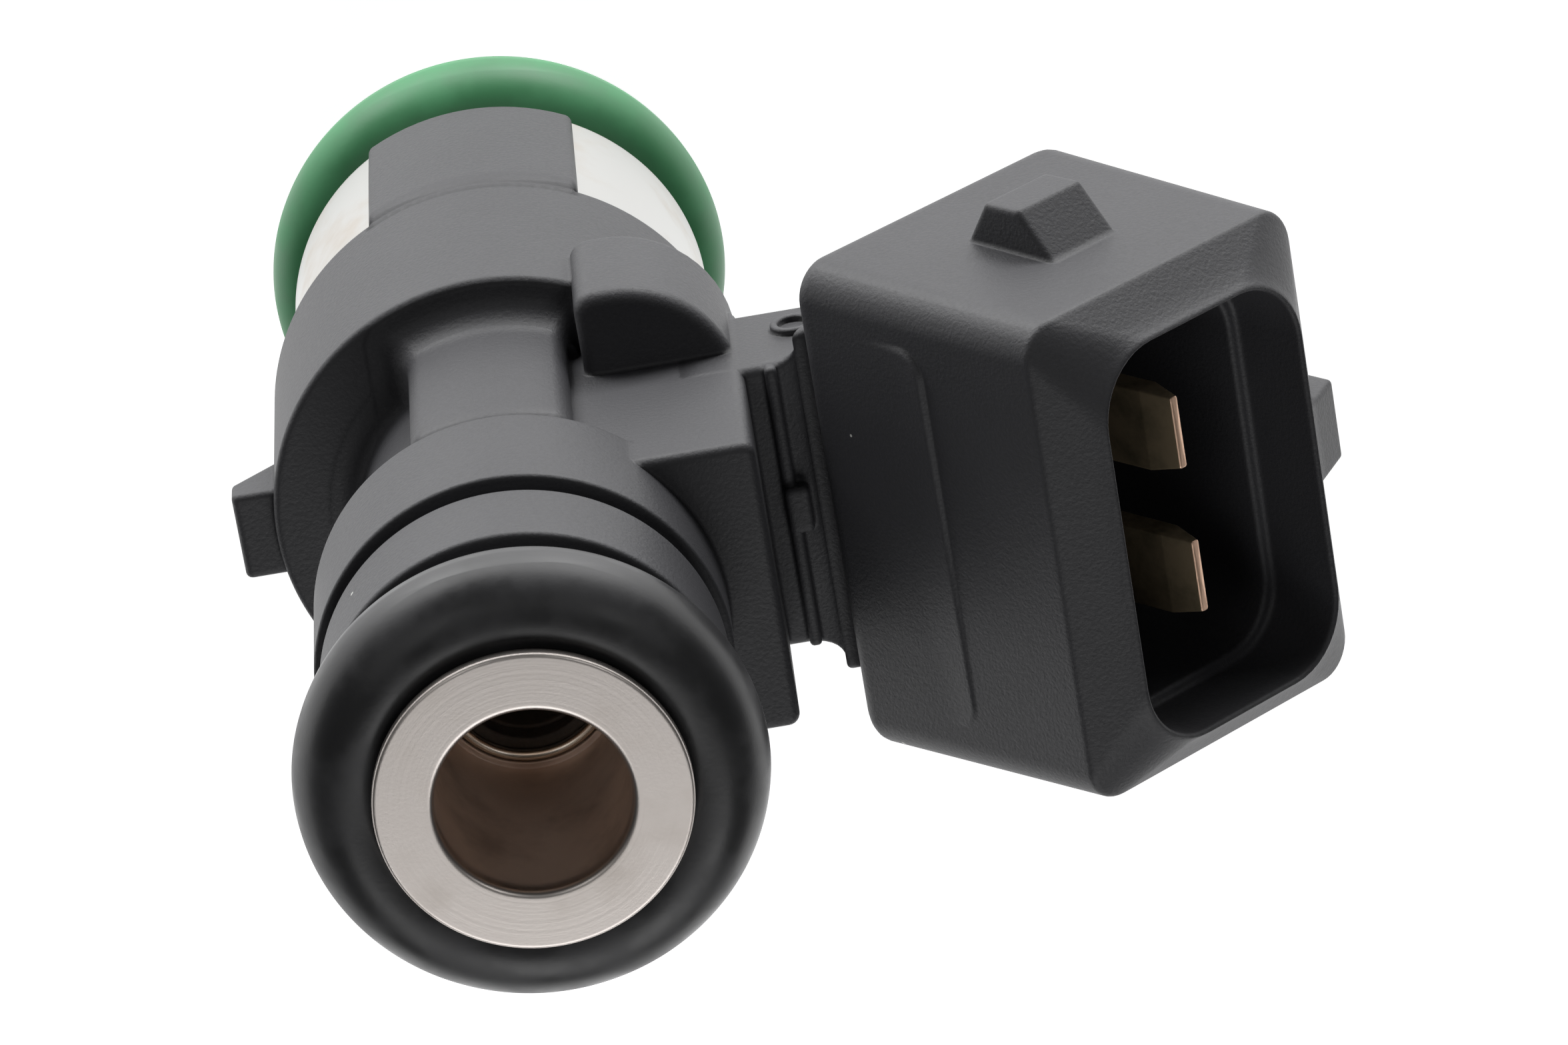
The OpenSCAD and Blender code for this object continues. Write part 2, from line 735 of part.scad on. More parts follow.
overmould();
inlet_tube();
inlet_o_ring();
filter_ring();
filter_frame();
filter_mesh();
adjusting_sleeve();
pole_piece();
return_spring();
nonmagnetic_ring();
armature();
needle_tube();
valve_ball();
guide_disc();
seat_body();
orifice_plate();
valve_body();
coil_bobbin();
coil_winding();
flux_washer();
coil_housing();
terminal_upper();
terminal_lower();
nozzle_o_ring();
o_ring_retainer();
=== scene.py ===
"""Port fuel injector: its finished surfaces, materials, light and camera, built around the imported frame.

Lengths in this file are millimetres until Skin.build turns them into metres. +Z runs up the fuel axis
from the nozzle tip, and the electrical socket leans out over +X.
"""

import json
import logging
import math
from dataclasses import dataclass, field
from enum import Enum
from typing import Sequence

import bpy
import numpy as np
from mathutils import Matrix, Vector


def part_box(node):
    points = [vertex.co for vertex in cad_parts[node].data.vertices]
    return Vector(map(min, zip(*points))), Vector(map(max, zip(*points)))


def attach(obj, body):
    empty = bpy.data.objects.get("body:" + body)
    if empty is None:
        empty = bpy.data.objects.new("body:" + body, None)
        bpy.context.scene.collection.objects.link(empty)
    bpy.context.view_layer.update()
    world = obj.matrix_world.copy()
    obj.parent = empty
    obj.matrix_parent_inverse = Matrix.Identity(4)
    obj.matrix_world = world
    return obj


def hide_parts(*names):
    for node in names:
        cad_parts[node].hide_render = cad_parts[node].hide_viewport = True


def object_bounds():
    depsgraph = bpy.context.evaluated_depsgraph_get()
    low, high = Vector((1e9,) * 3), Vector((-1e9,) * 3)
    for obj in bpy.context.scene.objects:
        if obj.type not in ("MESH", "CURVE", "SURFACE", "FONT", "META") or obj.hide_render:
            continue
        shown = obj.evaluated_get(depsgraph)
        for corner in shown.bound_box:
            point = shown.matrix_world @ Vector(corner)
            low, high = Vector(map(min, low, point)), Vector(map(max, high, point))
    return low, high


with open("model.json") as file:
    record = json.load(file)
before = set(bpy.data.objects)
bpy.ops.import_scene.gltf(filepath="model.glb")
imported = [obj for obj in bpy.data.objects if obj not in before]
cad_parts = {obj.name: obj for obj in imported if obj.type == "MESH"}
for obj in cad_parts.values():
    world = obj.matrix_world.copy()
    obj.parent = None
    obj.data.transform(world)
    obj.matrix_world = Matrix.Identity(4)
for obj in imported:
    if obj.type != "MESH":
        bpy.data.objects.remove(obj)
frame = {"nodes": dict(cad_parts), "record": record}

CAD_BOX = [list(map(float, corner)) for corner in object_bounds()]
MM = 0.001
BODY = "injector_body"
LOG = logging.getLogger("injector")

Corner = tuple[float, float, float]
Rgb = tuple[float, float, float]


def node_span(node: str) -> tuple[float, float]:
    """Gives a node's lowest and highest z.

    Args:
        node: name of the CAD node.

    Returns:
        The two heights in millimetres.
    """
    low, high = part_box(node)
    return float(low[2]) / MM, float(high[2]) / MM


# ---- Shapes ----


def unit(vectors: np.ndarray) -> np.ndarray:
    """Gives each vector length one; a zero vector stays zero."""
    length = np.linalg.norm(vectors, axis=-1, keepdims=True)
    return vectors / np.maximum(length, 1e-12)


def rounded(corners: Sequence[Corner], steps: int = 6) -> np.ndarray:
    """Rounds the corners of a closed outline with arcs.

    At a corner P with unit directions a and b to its neighbours and half angle h between them, the arc's
    centre is P + (a + b)/|a + b| * r / sin h, and the arc runs from P + a r / tan h to P + b r / tan h.

    Args:
        corners: the outline's corners as (u, v, radius).
        steps: segments in each arc.

    Returns:
        The outline's points, len(corners) * (steps + 1) by 2.
    """
    data = np.asarray(corners, dtype=float)
    point, radius = data[:, :2], np.maximum(data[:, 2:], 1e-4)
    to_last = unit(np.roll(point, 1, axis=0) - point)
    to_next = unit(np.roll(point, -1, axis=0) - point)
    half = np.arccos(np.clip(np.sum(to_last * to_next, axis=1, keepdims=True), -0.99999, 0.99999)) / 2
    centre = point + unit(to_last + to_next) * radius / np.sin(half)
    first = (point + to_last * radius / np.tan(half) - centre)[:, None, :]
    last = (point + to_next * radius / np.tan(half) - centre)[:, None, :]
    turn = (math.pi - 2 * half)[:, None, :]
    share = np.linspace(0, 1, steps + 1)[None, :, None]
    arc = (np.sin((1 - share) * turn) * first + np.sin(share * turn) * last) / np.sin(turn)
    return (centre[:, None, :] + arc).reshape(-1, 2)


def grown(corners: Sequence[Corner], growth: float) -> list[Corner]:
    """Moves each side of an anticlockwise outline outwards.

    With outward normals m and n of a corner's two sides, the corner moves by growth * (m + n) / (1 + m.n).
    A convex corner's radius grows as much, and a hollow corner's shrinks.

    Args:
        corners: the outline's corners as (u, v, radius), anticlockwise.
        growth: how far each side moves, negative for inwards.

    Returns:
        The new corners.
    """
    data = np.asarray(corners, dtype=float)
    point = data[:, :2]
    side_in = unit(point - np.roll(point, 1, axis=0))
    side_out = unit(np.roll(point, -1, axis=0) - point)
    normal_in = np.stack([side_in[:, 1], -side_in[:, 0]], axis=1)
    normal_out = np.stack([side_out[:, 1], -side_out[:, 0]], axis=1)
    dot = np.sum(normal_in * normal_out, axis=1, keepdims=True)
    moved = point + growth * (normal_in + normal_out) / (1 + dot)
    convex = np.sign(side_in[:, 0] * side_out[:, 1] - side_in[:, 1] * side_out[:, 0])
    radius = np.maximum(data[:, 2] + growth * convex, 0.01)
    return [tuple(row) for row in np.column_stack([moved, radius])]


def quarter(steps: int = 5) -> np.ndarray:
    """Gives the angles of a quarter turn, from 0 to pi / 2."""
    return np.linspace(0, math.pi / 2, steps + 1)


def foot_rows(height: float, radius: float, sink: float = 0.3) -> list[tuple[float, float]]:
    """Rows of (growth, height) for a hollow fillet where a feature stands on a face.

    growth = radius (1 - sin t), height = foot + radius (1 - cos t). The first rows go under the face.

    Args:
        height: the height of the face that the feature stands on.
        radius: the fillet's radius.
        sink: how far the feature's end lies under the face.

    Returns:
        The rows, from below the face upwards.
    """
    angles = quarter()
    rows = [(radius + 0.05, height - sink), (radius + 0.05, height - 0.012)]
    return rows + [(radius * (1 - math.sin(t)), height + radius * (1 - math.cos(t))) for t in angles]


def low_edge_rows(height: float, radius: float) -> list[tuple[float, float]]:
    """Rows of (growth, height) for a rounded lower edge: growth = -radius (1 - sin t)."""
    return [(-radius * (1 - math.sin(t)), height + radius * (1 - math.cos(t))) for t in quarter()]


def top_edge_rows(height: float, radius: float) -> list[tuple[float, float]]:
    """Rows of (growth, height) for a rounded upper edge: growth = -radius (1 - cos t)."""
    return [(-radius * (1 - math.cos(t)), height - radius * (1 - math.sin(t))) for t in quarter()]


def carried(corners: Sequence[Corner], rows: Sequence[tuple[float, float]], steps: int = 6) -> np.ndarray:
    """Carries an outline up a profile: row by row it grows sideways and climbs.

    Args:
        corners: the outline's corners as (u, v, radius), anticlockwise.
        rows: (growth, height) of each row.
        steps: segments in each corner's arc.

    Returns:
        A grid of points, rows by outline points by 3.
    """
    rings = [rounded(grown(corners, growth), steps) for growth, _ in rows]
    heights = np.array([height for _, height in rows])
    flat = np.stack(rings)
    return np.concatenate([flat, np.broadcast_to(heights[:, None, None], flat.shape[:2] + (1,))], axis=2)


def box_corners(u0: float, u1: float, v0: float, v1: float, radius: float) -> list[Corner]:
    """Gives the four corners of a rectangle, anticlockwise, each with the same radius."""
    return [(u0, v0, radius), (u1, v0, radius), (u1, v1, radius), (u0, v1, radius)]


def turned(profile: np.ndarray, steps: int = 192) -> np.ndarray:
    """Turns a closed profile of (radius, z) about the Z axis.

    Point (i, j) is (r_i cos a_j, r_i sin a_j, z_i).

    Args:
        profile: points of (radius, z), closed.
        steps: points in each circle.

    Returns:
        A grid of points, profile points by steps by 3.
    """
    angle = np.linspace(0, 2 * math.pi, steps, endpoint=False)
    radius = profile[:, :1]
    return np.stack([radius * np.cos(angle), radius * np.sin(angle),
                     np.broadcast_to(profile[:, 1:], (len(profile), steps))], axis=2)


def placed(grid: np.ndarray, origin: Sequence[float], x: Sequence[float], y: Sequence[float],
           z: Sequence[float]) -> np.ndarray:
    """Puts local points in the frame: origin + u x + v y + w z.

    Args:
        grid: points with three local coordinates last.
        origin: where the local zero stands.
        x: direction of the first local axis.
        y: direction of the second local axis.
        z: direction of the third local axis.

    Returns:
        The points in the frame.
    """
    return grid @ np.array([x, y, z], dtype=float) + np.array(origin, dtype=float)


class Skin:
    """The surface of one piece as it grows from closed patches."""

    def __init__(self) -> None:
        """Starts with no points."""
        self.points: list[np.ndarray] = []
        self.normals: list[np.ndarray] = []
        self.faces: list[list[int]] = []
        self.count = 0

    def add(self, grid: np.ndarray, loop: bool = False) -> "Skin":
        """Adds one closed patch, turned outwards whichever way its grid runs.

        The normal at a point is the cross product of the differences to its neighbours around and along
        the patch. Where a flat meets an arc, the longer flat sets it, so flats stay flat.

        Args:
            grid: points, rows along the patch by columns around it by 3.
            loop: True if the last row joins the first; otherwise each end is closed with a fan.

        Returns:
            This skin, so that calls can follow each other.
        """
        rows, columns = grid.shape[:2]
        first, last = grid[0].mean(axis=0), grid[-1].mean(axis=0)
        if loop:
            along = np.roll(grid, -1, axis=0) - np.roll(grid, 1, axis=0)
        else:
            ends = [np.broadcast_to(end, (1, columns, 3)) for end in (first, last)]
            longer = np.concatenate([ends[0], grid, ends[1]])
            along = longer[2:] - longer[:-2]
        around = np.roll(grid, -1, axis=1) - np.roll(grid, 1, axis=1)
        normal = unit(np.cross(around, along))
        index = np.arange(rows * columns).reshape(rows, columns)
        over = np.roll(index, -1, axis=0) if loop else index[1:]
        under = index if loop else index[:-1]
        quads = np.stack([under, np.roll(under, -1, axis=1), np.roll(over, -1, axis=1), over], axis=-1)
        quads = quads.reshape(-1, 4)
        points, normals = grid.reshape(-1, 3), normal.reshape(-1, 3)
        fans = np.zeros((0, 3), dtype=int)
        if not loop:
            hubs = [np.full(columns, rows * columns + k) for k in (0, 1)]
            low, high = index[0], index[-1]
            fans = np.concatenate([
                np.stack([np.roll(low, -1), low, hubs[0]], axis=1),
                np.stack([high, np.roll(high, -1), hubs[1]], axis=1),
            ])
            points = np.concatenate([points, [first, last]])
            hub_normals = unit(np.stack([normal[0].mean(axis=0), normal[-1].mean(axis=0)]))
            normals = np.concatenate([normals, hub_normals])
        triangles = np.concatenate([quads[:, [0, 1, 2]], quads[:, [0, 2, 3]], fans])
        a, b, c = (points[triangles[:, k]] for k in range(3))
        if np.sum(a * np.cross(b, c)) < 0:
            quads, fans, normals = quads[:, ::-1], fans[:, ::-1], -normals
        self.faces += (quads + self.count).tolist() + (fans + self.count).tolist()
        self.points.append(points)
        self.normals.append(normals)
        self.count += len(points)
        return self

    def both_sides(self, grid: np.ndarray, loop: bool = False) -> "Skin":
        """Adds a patch and its mirror image in the XZ plane."""
        return self.add(grid, loop).add(grid * np.array([1, -1, 1]), loop)

    def build(self, name: str, finishes: "FinishSet", slot: str, node: str) -> bpy.types.Object:
        """Makes the object, in metres, hangs it on the body's empty and hides the CAD node that it stands for.

        Args:
            name: the piece's name.
            finishes: the injector's finishes.
            slot: the record's material slot, which is also the finish's name.
            node: the CAD node that the piece stands for.

        Returns:
            The new object.
        """
        points = np.concatenate(self.points) * MM
        mesh = bpy.data.meshes.new(name)
        mesh.from_pydata(points.tolist(), [], self.faces)
        mesh.polygons.foreach_set("use_smooth", np.ones(len(mesh.polygons), dtype=bool))
        mesh.normals_split_custom_set_from_vertices(np.concatenate(self.normals).tolist())
        mesh.materials.append(finishes[slot])
        mesh.update()
        piece = bpy.data.objects.new(name, mesh)
        bpy.context.scene.collection.objects.link(piece)
        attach(piece, BODY)
        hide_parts(node)
        LOG.info("%s: %d points, %d faces, for %s", name, len(points), len(self.faces), node)
        return piece


def turned_piece(name: str, profile: np.ndarray, finishes: "FinishSet", slot: str, node: str,
                 steps: int = 192) -> bpy.types.Object:
    """Turns a closed profile about the fuel axis into a piece that stands for one node.

    Args:
        name: the piece's name.
        profile: points of (radius, z), closed.
        finishes: the injector's finishes.
        slot: the record's material slot.
        node: the CAD node that the piece stands for.
        steps: points in each circle.

    Returns:
        The new object.
    """
    return Skin().add(turned(profile, steps), loop=True).build(name, finishes, slot, node)


# ---- Effects that several finishes share ----


class Effect(Enum):
    """The shared node groups."""

    GRAIN = "surface_grain"
    SPECKS = "dust_specks"
    EDGES = "soft_edges"
    BLOTCHES = "blotches"
    TURNING = "turning_marks"


class EffectKit:
    """Makes each shared node group once."""

    def __init__(self) -> None:
        """Starts with no groups."""
        self.made: dict[Effect, bpy.types.NodeTree] = {}

    def get(self, effect: Effect) -> bpy.types.NodeTree:
        """Gives a group, making it on first use.

        Args:
            effect: which group.

        Returns:
            The group.
        """
        if effect not in self.made:
            makers = {
                Effect.GRAIN: self.make_grain, Effect.SPECKS: self.make_specks, Effect.EDGES: self.make_edges,
                Effect.BLOTCHES: self.make_blotches, Effect.TURNING: self.make_turning,
            }
            self.made[effect] = makers[effect](effect.value)
        return self.made[effect]

    def start(self, name: str, inputs: dict[str, float],
              outputs: dict[str, str]) -> tuple["Wiring", bpy.types.Node, bpy.types.Node]:
        """Starts a group with its sockets.

        Args:
            name: the group's name.
            inputs: each input's name and starting value.
            outputs: each output's name and socket type.

        Returns:
            The wiring of the new group, its input node and its output node.
        """
        tree = bpy.data.node_groups.new(name, "ShaderNodeTree")
        for label, value in inputs.items():
            socket = tree.interface.new_socket(label, in_out="INPUT", socket_type="NodeSocketFloat")
            socket.default_value = value
        for label, kind in outputs.items():
            tree.interface.new_socket(label, in_out="OUTPUT", socket_type=kind)
        w = Wiring(tree)
        return w, w.node("NodeGroupInput"), w.node("NodeGroupOutput")

    def make_grain(self, name: str) -> bpy.types.NodeTree:
        """Fine grain: height = (noise(p / size) - 1/2) depth, and the noise itself as shade.

        Args:
            name: the group's name.

        Returns:
            The finished group.
        """
        w, source, sink = self.start(name, {"Size": 0.0001, "Depth": 0.000002},
                                     {"Height": "NodeSocketFloat", "Shade": "NodeSocketFloat"})
        scale = w.maths("DIVIDE", 1.0, source.outputs["Size"])
        noise = w.noise(w.place(), scale, detail=2.0, roughness=0.6)
        centred = w.maths("SUBTRACT", noise, 0.5)
        w.join(w.maths("MULTIPLY", centred, source.outputs["Depth"]), sink.inputs["Height"])
        w.join(noise, sink.inputs["Shade"])
        return w.tree

    def make_specks(self, name: str) -> bpy.types.NodeTree:
        """Pale dust: a few cells of size Size hold one round speck each, of radius Reach in cells.

        Args:
            name: the group's name.

        Returns:
            The finished group.
        """
        w, source, sink = self.start(name, {"Size": 0.001, "Share": 0.1, "Reach": 0.06},
                                     {"Mask": "NodeSocketFloat"})
        cells = w.node("ShaderNodeTexVoronoi")
        w.join(w.place(), cells.inputs["Vector"])
        w.join(w.maths("DIVIDE", 1.0, source.outputs["Size"]), cells.inputs["Scale"])
        split = w.node("ShaderNodeSeparateColor")
        w.join(cells.outputs["Color"], split.inputs["Color"])
        chosen = w.maths("LESS_THAN", split.outputs["Red"], source.outputs["Share"])
        size = w.maths("MULTIPLY", split.outputs["Green"], source.outputs["Reach"])
        near = w.maths("LESS_THAN", cells.outputs["Distance"], size)
        w.join(w.maths("MULTIPLY", chosen, near), sink.inputs["Mask"])
        return w.tree

    def make_edges(self, name: str) -> bpy.types.NodeTree:
        """Rounds shading over edges within Radius, and marks them: mask = gain (1 - n . n_rounded).

        Args:
            name: the group's name.

        Returns:
            The finished group.
        """
        w, source, sink = self.start(name, {"Radius": 0.0002, "Gain": 6.0},
                                     {"Normal": "NodeSocketVector", "Mask": "NodeSocketFloat"})
        soft = w.node("ShaderNodeBevel", samples=6)
        w.join(source.outputs["Radius"], soft.inputs["Radius"])
        plain = w.node("ShaderNodeNewGeometry")
        dot = w.node("ShaderNodeVectorMath", operation="DOT_PRODUCT")
        w.join(soft.outputs["Normal"], dot.inputs[0])
        w.join(plain.outputs["Normal"], dot.inputs[1])
        off = w.maths("SUBTRACT", 1.0, dot.outputs["Value"])
        w.join(w.maths("MULTIPLY", off, source.outputs["Gain"], clamp=True), sink.inputs["Mask"])
        w.join(soft.outputs["Normal"], sink.inputs["Normal"])
        return w.tree

    def make_blotches(self, name: str) -> bpy.types.NodeTree:
        """Soft uneven patches: mask = smooth step of noise(p / size) between Low and High.

        Args:
            name: the group's name.

        Returns:
            The finished group.
        """
        w, source, sink = self.start(name, {"Size": 0.003, "Low": 0.4, "High": 0.65},
                                     {"Mask": "NodeSocketFloat"})
        noise = w.noise(w.place(), w.maths("DIVIDE", 1.0, source.outputs["Size"]), detail=4.0, roughness=0.55)
        spread = w.node("ShaderNodeMapRange", interpolation_type="SMOOTHSTEP")
        w.join(noise, spread.inputs["Value"])
        w.join(source.outputs["Low"], spread.inputs["From Min"])
        w.join(source.outputs["High"], spread.inputs["From Max"])
        w.join(spread.outputs["Result"], sink.inputs["Mask"])
        return w.tree

    def make_turning(self, name: str) -> bpy.types.NodeTree:
        """Lathe marks around Z: height = (noise((radius + z) / pitch) - 1/2) depth.

        Args:
            name: the group's name.

        Returns:
            The finished group.
        """
        w, source, sink = self.start(name, {"Pitch": 0.0001, "Depth": 0.000001}, {"Height": "NodeSocketFloat"})
        radius, z = w.radius_and_z()
        path = w.maths("DIVIDE", w.maths("ADD", radius, z), source.outputs["Pitch"])
        noise = w.node("ShaderNodeTexNoise", noise_dimensions="1D")
        w.join(path, noise.inputs["W"])
        noise.inputs["Scale"].default_value = 1.0
        noise.inputs["Detail"].default_value = 2.0
        centred = w.maths("SUBTRACT", noise.outputs["Fac"], 0.5)
        w.join(w.maths("MULTIPLY", centred, source.outputs["Depth"]), sink.inputs["Height"])
        return w.tree


class Wiring:
    """Short names for placing and joining shader nodes in one tree."""

    def __init__(self, tree: bpy.types.NodeTree) -> None:
        """Keeps the tree that is being wired."""
        self.tree = tree

    def node(self, kind: str, **settings: object) -> bpy.types.Node:
        """Adds a node and sets its properties.

        Args:
            kind: the node's type.
            settings: the node's properties.

        Returns:
            The new node.
        """
        made = self.tree.nodes.new(kind)
        for label, value in settings.items():
            setattr(made, label, value)
        return made

    def join(self, source: object, socket: bpy.types.NodeSocket) -> None:
        """Feeds a socket from another socket, or sets its value.

        Args:
            source: a socket, or a value.
            socket: the input that takes it.
        """
        if isinstance(source, bpy.types.NodeSocket):
            self.tree.links.new(source, socket)
        else:
            socket.default_value = source

    def place(self) -> bpy.types.NodeSocket:
        """Gives the point's place on the object."""
        return self.node("ShaderNodeTexCoord").outputs["Object"]

    def maths(self, operation: str, a: object, b: object, clamp: bool = False) -> bpy.types.NodeSocket:
        """Adds a Math node.

        Args:
            operation: the node's operation.
            a: first value or socket.
            b: second value or socket.
            clamp: keeps the result between 0 and 1.

        Returns:
            The result's socket.
        """
        made = self.node("ShaderNodeMath", operation=operation, use_clamp=clamp)
        self.join(a, made.inputs[0])
        self.join(b, made.inputs[1])
        return made.outputs[0]

    def noise(self, vector: object, scale: object, detail: float, roughness: float) -> bpy.types.NodeSocket:
        """Adds a 3-D noise texture and gives its value.

        Args:
            vector: the point's socket.
            scale: the texture's scale, as a value or socket.
            detail: octaves of the noise.
            roughness: strength of the finer octaves.

        Returns:
            The value's socket.
        """
        made = self.node("ShaderNodeTexNoise")
        self.join(vector, made.inputs["Vector"])
        self.join(scale, made.inputs["Scale"])
        made.inputs["Detail"].default_value = detail
        made.inputs["Roughness"].default_value = roughness
        return made.outputs["Fac"]

    def radius_and_z(self) -> tuple[bpy.types.NodeSocket, bpy.types.NodeSocket]:
        """Gives the distance from the fuel axis and the height, in metres.

        Returns:
            The sockets of the radius and of z.
        """
        split = self.node("ShaderNodeSeparateXYZ")
        self.join(self.place(), split.inputs[0])
        x2 = self.maths("MULTIPLY", split.outputs["X"], split.outputs["X"])
        y2 = self.maths("MULTIPLY", split.outputs["Y"], split.outputs["Y"])
        return self.maths("SQRT", self.maths("ADD", x2, y2), 0.0), split.outputs["Z"]

    def mix(self, mask: object, a: object, b: object) -> bpy.types.NodeSocket:
        """Mixes two colours by a mask.

        Args:
            mask: 0 for the first colour, 1 for the second.
            a: first colour or socket.
            b: second colour or socket.

        Returns:
            The mixed colour's socket.
        """
        made = self.node("ShaderNodeMix", data_type="RGBA")
        self.join(mask, made.inputs["Factor"])
        for value, label in ((a, "A"), (b, "B")):
            socket = next(s for s in made.inputs if s.name == label and s.type == "RGBA")
            self.join(value if isinstance(value, bpy.types.NodeSocket) else (*value, 1.0), socket)
        return next(s for s in made.outputs if s.type == "RGBA")

    def between(self, mask: object, a: float, b: float) -> bpy.types.NodeSocket:
        """Gives a value that goes from a to b as the mask goes from 0 to 1."""
        return self.maths("ADD", self.maths("MULTIPLY", mask, b - a), a)

    def ramp(self, value: object, low: float, high: float) -> bpy.types.NodeSocket:
        """Gives a smooth step of a value from 0 at low to 1 at high.

        Args:
            value: the value's socket.
            low: where the step starts.
            high: where it ends.

        Returns:
            The result's socket.
        """
        made = self.node("ShaderNodeMapRange", interpolation_type="SMOOTHSTEP")
        self.join(value, made.inputs["Value"])
        made.inputs["From Min"].default_value = low
        made.inputs["From Max"].default_value = high
        return made.outputs["Result"]

    def effect(self, kit: EffectKit, which: Effect, **values: float) -> bpy.types.Node:
        """Places a shared group with its own values.

        Args:
            kit: the shared node groups.
            which: the group.
            values: its inputs.

        Returns:
            The group's node.
        """
        made = self.node("ShaderNodeGroup", node_tree=kit.get(which))
        for label, value in values.items():
            made.inputs[label].default_value = value
        return made

    def bump(self, height: object, normal: object = None) -> bpy.types.NodeSocket:
        """Turns a height in metres into a normal, over another normal if one is given.

        Args:
            height: the height's socket.
            normal: the normal underneath, if any.

        Returns:
            The normal's socket.
        """
        made = self.node("ShaderNodeBump")
        made.inputs["Strength"].default_value = 1.0
        made.inputs["Distance"].default_value = 1.0
        self.join(height, made.inputs["Height"])
        if normal is not None:
            self.join(normal, made.inputs["Normal"])
        return made.outputs["Normal"]


@dataclass(frozen=True)
class Finish:
    """What every finish has: a name and a way to start its material."""

    name: str

    def start(self) -> tuple[bpy.types.Material, Wiring, bpy.types.Node]:
        """Starts a material with a Principled shader.

        Returns:
            The material, its wiring and the shader.
        """
        material = bpy.data.materials.new(self.name)
        material.use_nodes = True
        material.node_tree.nodes.clear()
        w = Wiring(material.node_tree)
        shader = w.node("ShaderNodeBsdfPrincipled")
        w.join(shader.outputs["BSDF"], w.node("ShaderNodeOutputMaterial").inputs["Surface"])
        return material, w, shader


@dataclass(frozen=True)
class MouldedPlastic(Finish):
    """Glass-filled plastic with an eroded grain, soft edges and a little dust."""

    colour: Rgb = (0.022, 0.022, 0.0245)
    worn: Rgb = (0.045, 0.045, 0.048)
    dust: Rgb = (0.42, 0.42, 0.40)
    roughness: tuple[float, float] = (0.50, 0.60)
    grain: tuple[float, float] = (0.00013, 0.000018)
    edge: float = 0.00022
    specks: float = 0.16

    def build(self, kit: EffectKit) -> bpy.types.Material:
        """Wires the material.

        Args:
            kit: the shared node groups.

        Returns:
            The material.
        """
        material, w, shader = self.start()
        grain = w.effect(kit, Effect.GRAIN, Size=self.grain[0], Depth=self.grain[1])
        edges = w.effect(kit, Effect.EDGES, Radius=self.edge, Gain=3.0)
        cloud = w.effect(kit, Effect.BLOTCHES, Size=0.004, Low=0.35, High=0.7)
        specks = w.effect(kit, Effect.SPECKS, Size=0.0016, Share=self.specks, Reach=0.062)
        lighter = tuple(c * 1.25 for c in self.colour)
        shade = w.mix(cloud.outputs["Mask"], self.colour, lighter)
        fine = w.mix(grain.outputs["Shade"], tuple(c * 1.7 for c in self.colour), shade)
        edge = w.mix(w.maths("MULTIPLY", edges.outputs["Mask"], 0.2), fine, self.worn)
        w.join(w.mix(specks.outputs["Mask"], edge, self.dust), shader.inputs["Base Color"])
        w.join(w.between(grain.outputs["Shade"], *self.roughness), shader.inputs["Roughness"])
        w.join(w.bump(grain.outputs["Height"], edges.outputs["Normal"]), shader.inputs["Normal"])
        return material


@dataclass(frozen=True)
class Rubber(Finish):
    """Moulded O-ring rubber: smooth, a little shiny, with dust and fine scuffs."""

    colour: Rgb = (0.021, 0.021, 0.022)
    bloom: Rgb = (0.033, 0.033, 0.035)
    dust: Rgb = (0.30, 0.30, 0.29)
    roughness: tuple[float, float] = (0.34, 0.50)

    def build(self, kit: EffectKit) -> bpy.types.Material:
        """Wires the material.

        Args:
            kit: the shared node groups.

        Returns:
            The material.
        """
        material, w, shader = self.start()
        grain = w.effect(kit, Effect.GRAIN, Size=0.00016, Depth=0.0000026)
        cloud = w.effect(kit, Effect.BLOTCHES, Size=0.0025, Low=0.38, High=0.68)
        specks = w.effect(kit, Effect.SPECKS, Size=0.0011, Share=0.12, Reach=0.06)
        shade = w.mix(cloud.outputs["Mask"], self.colour, self.bloom)
        w.join(w.mix(specks.outputs["Mask"], shade, self.dust), shader.inputs["Base Color"])
        w.join(w.between(cloud.outputs["Mask"], *self.roughness), shader.inputs["Roughness"])
        w.join(w.bump(grain.outputs["Height"]), shader.inputs["Normal"])
        return material


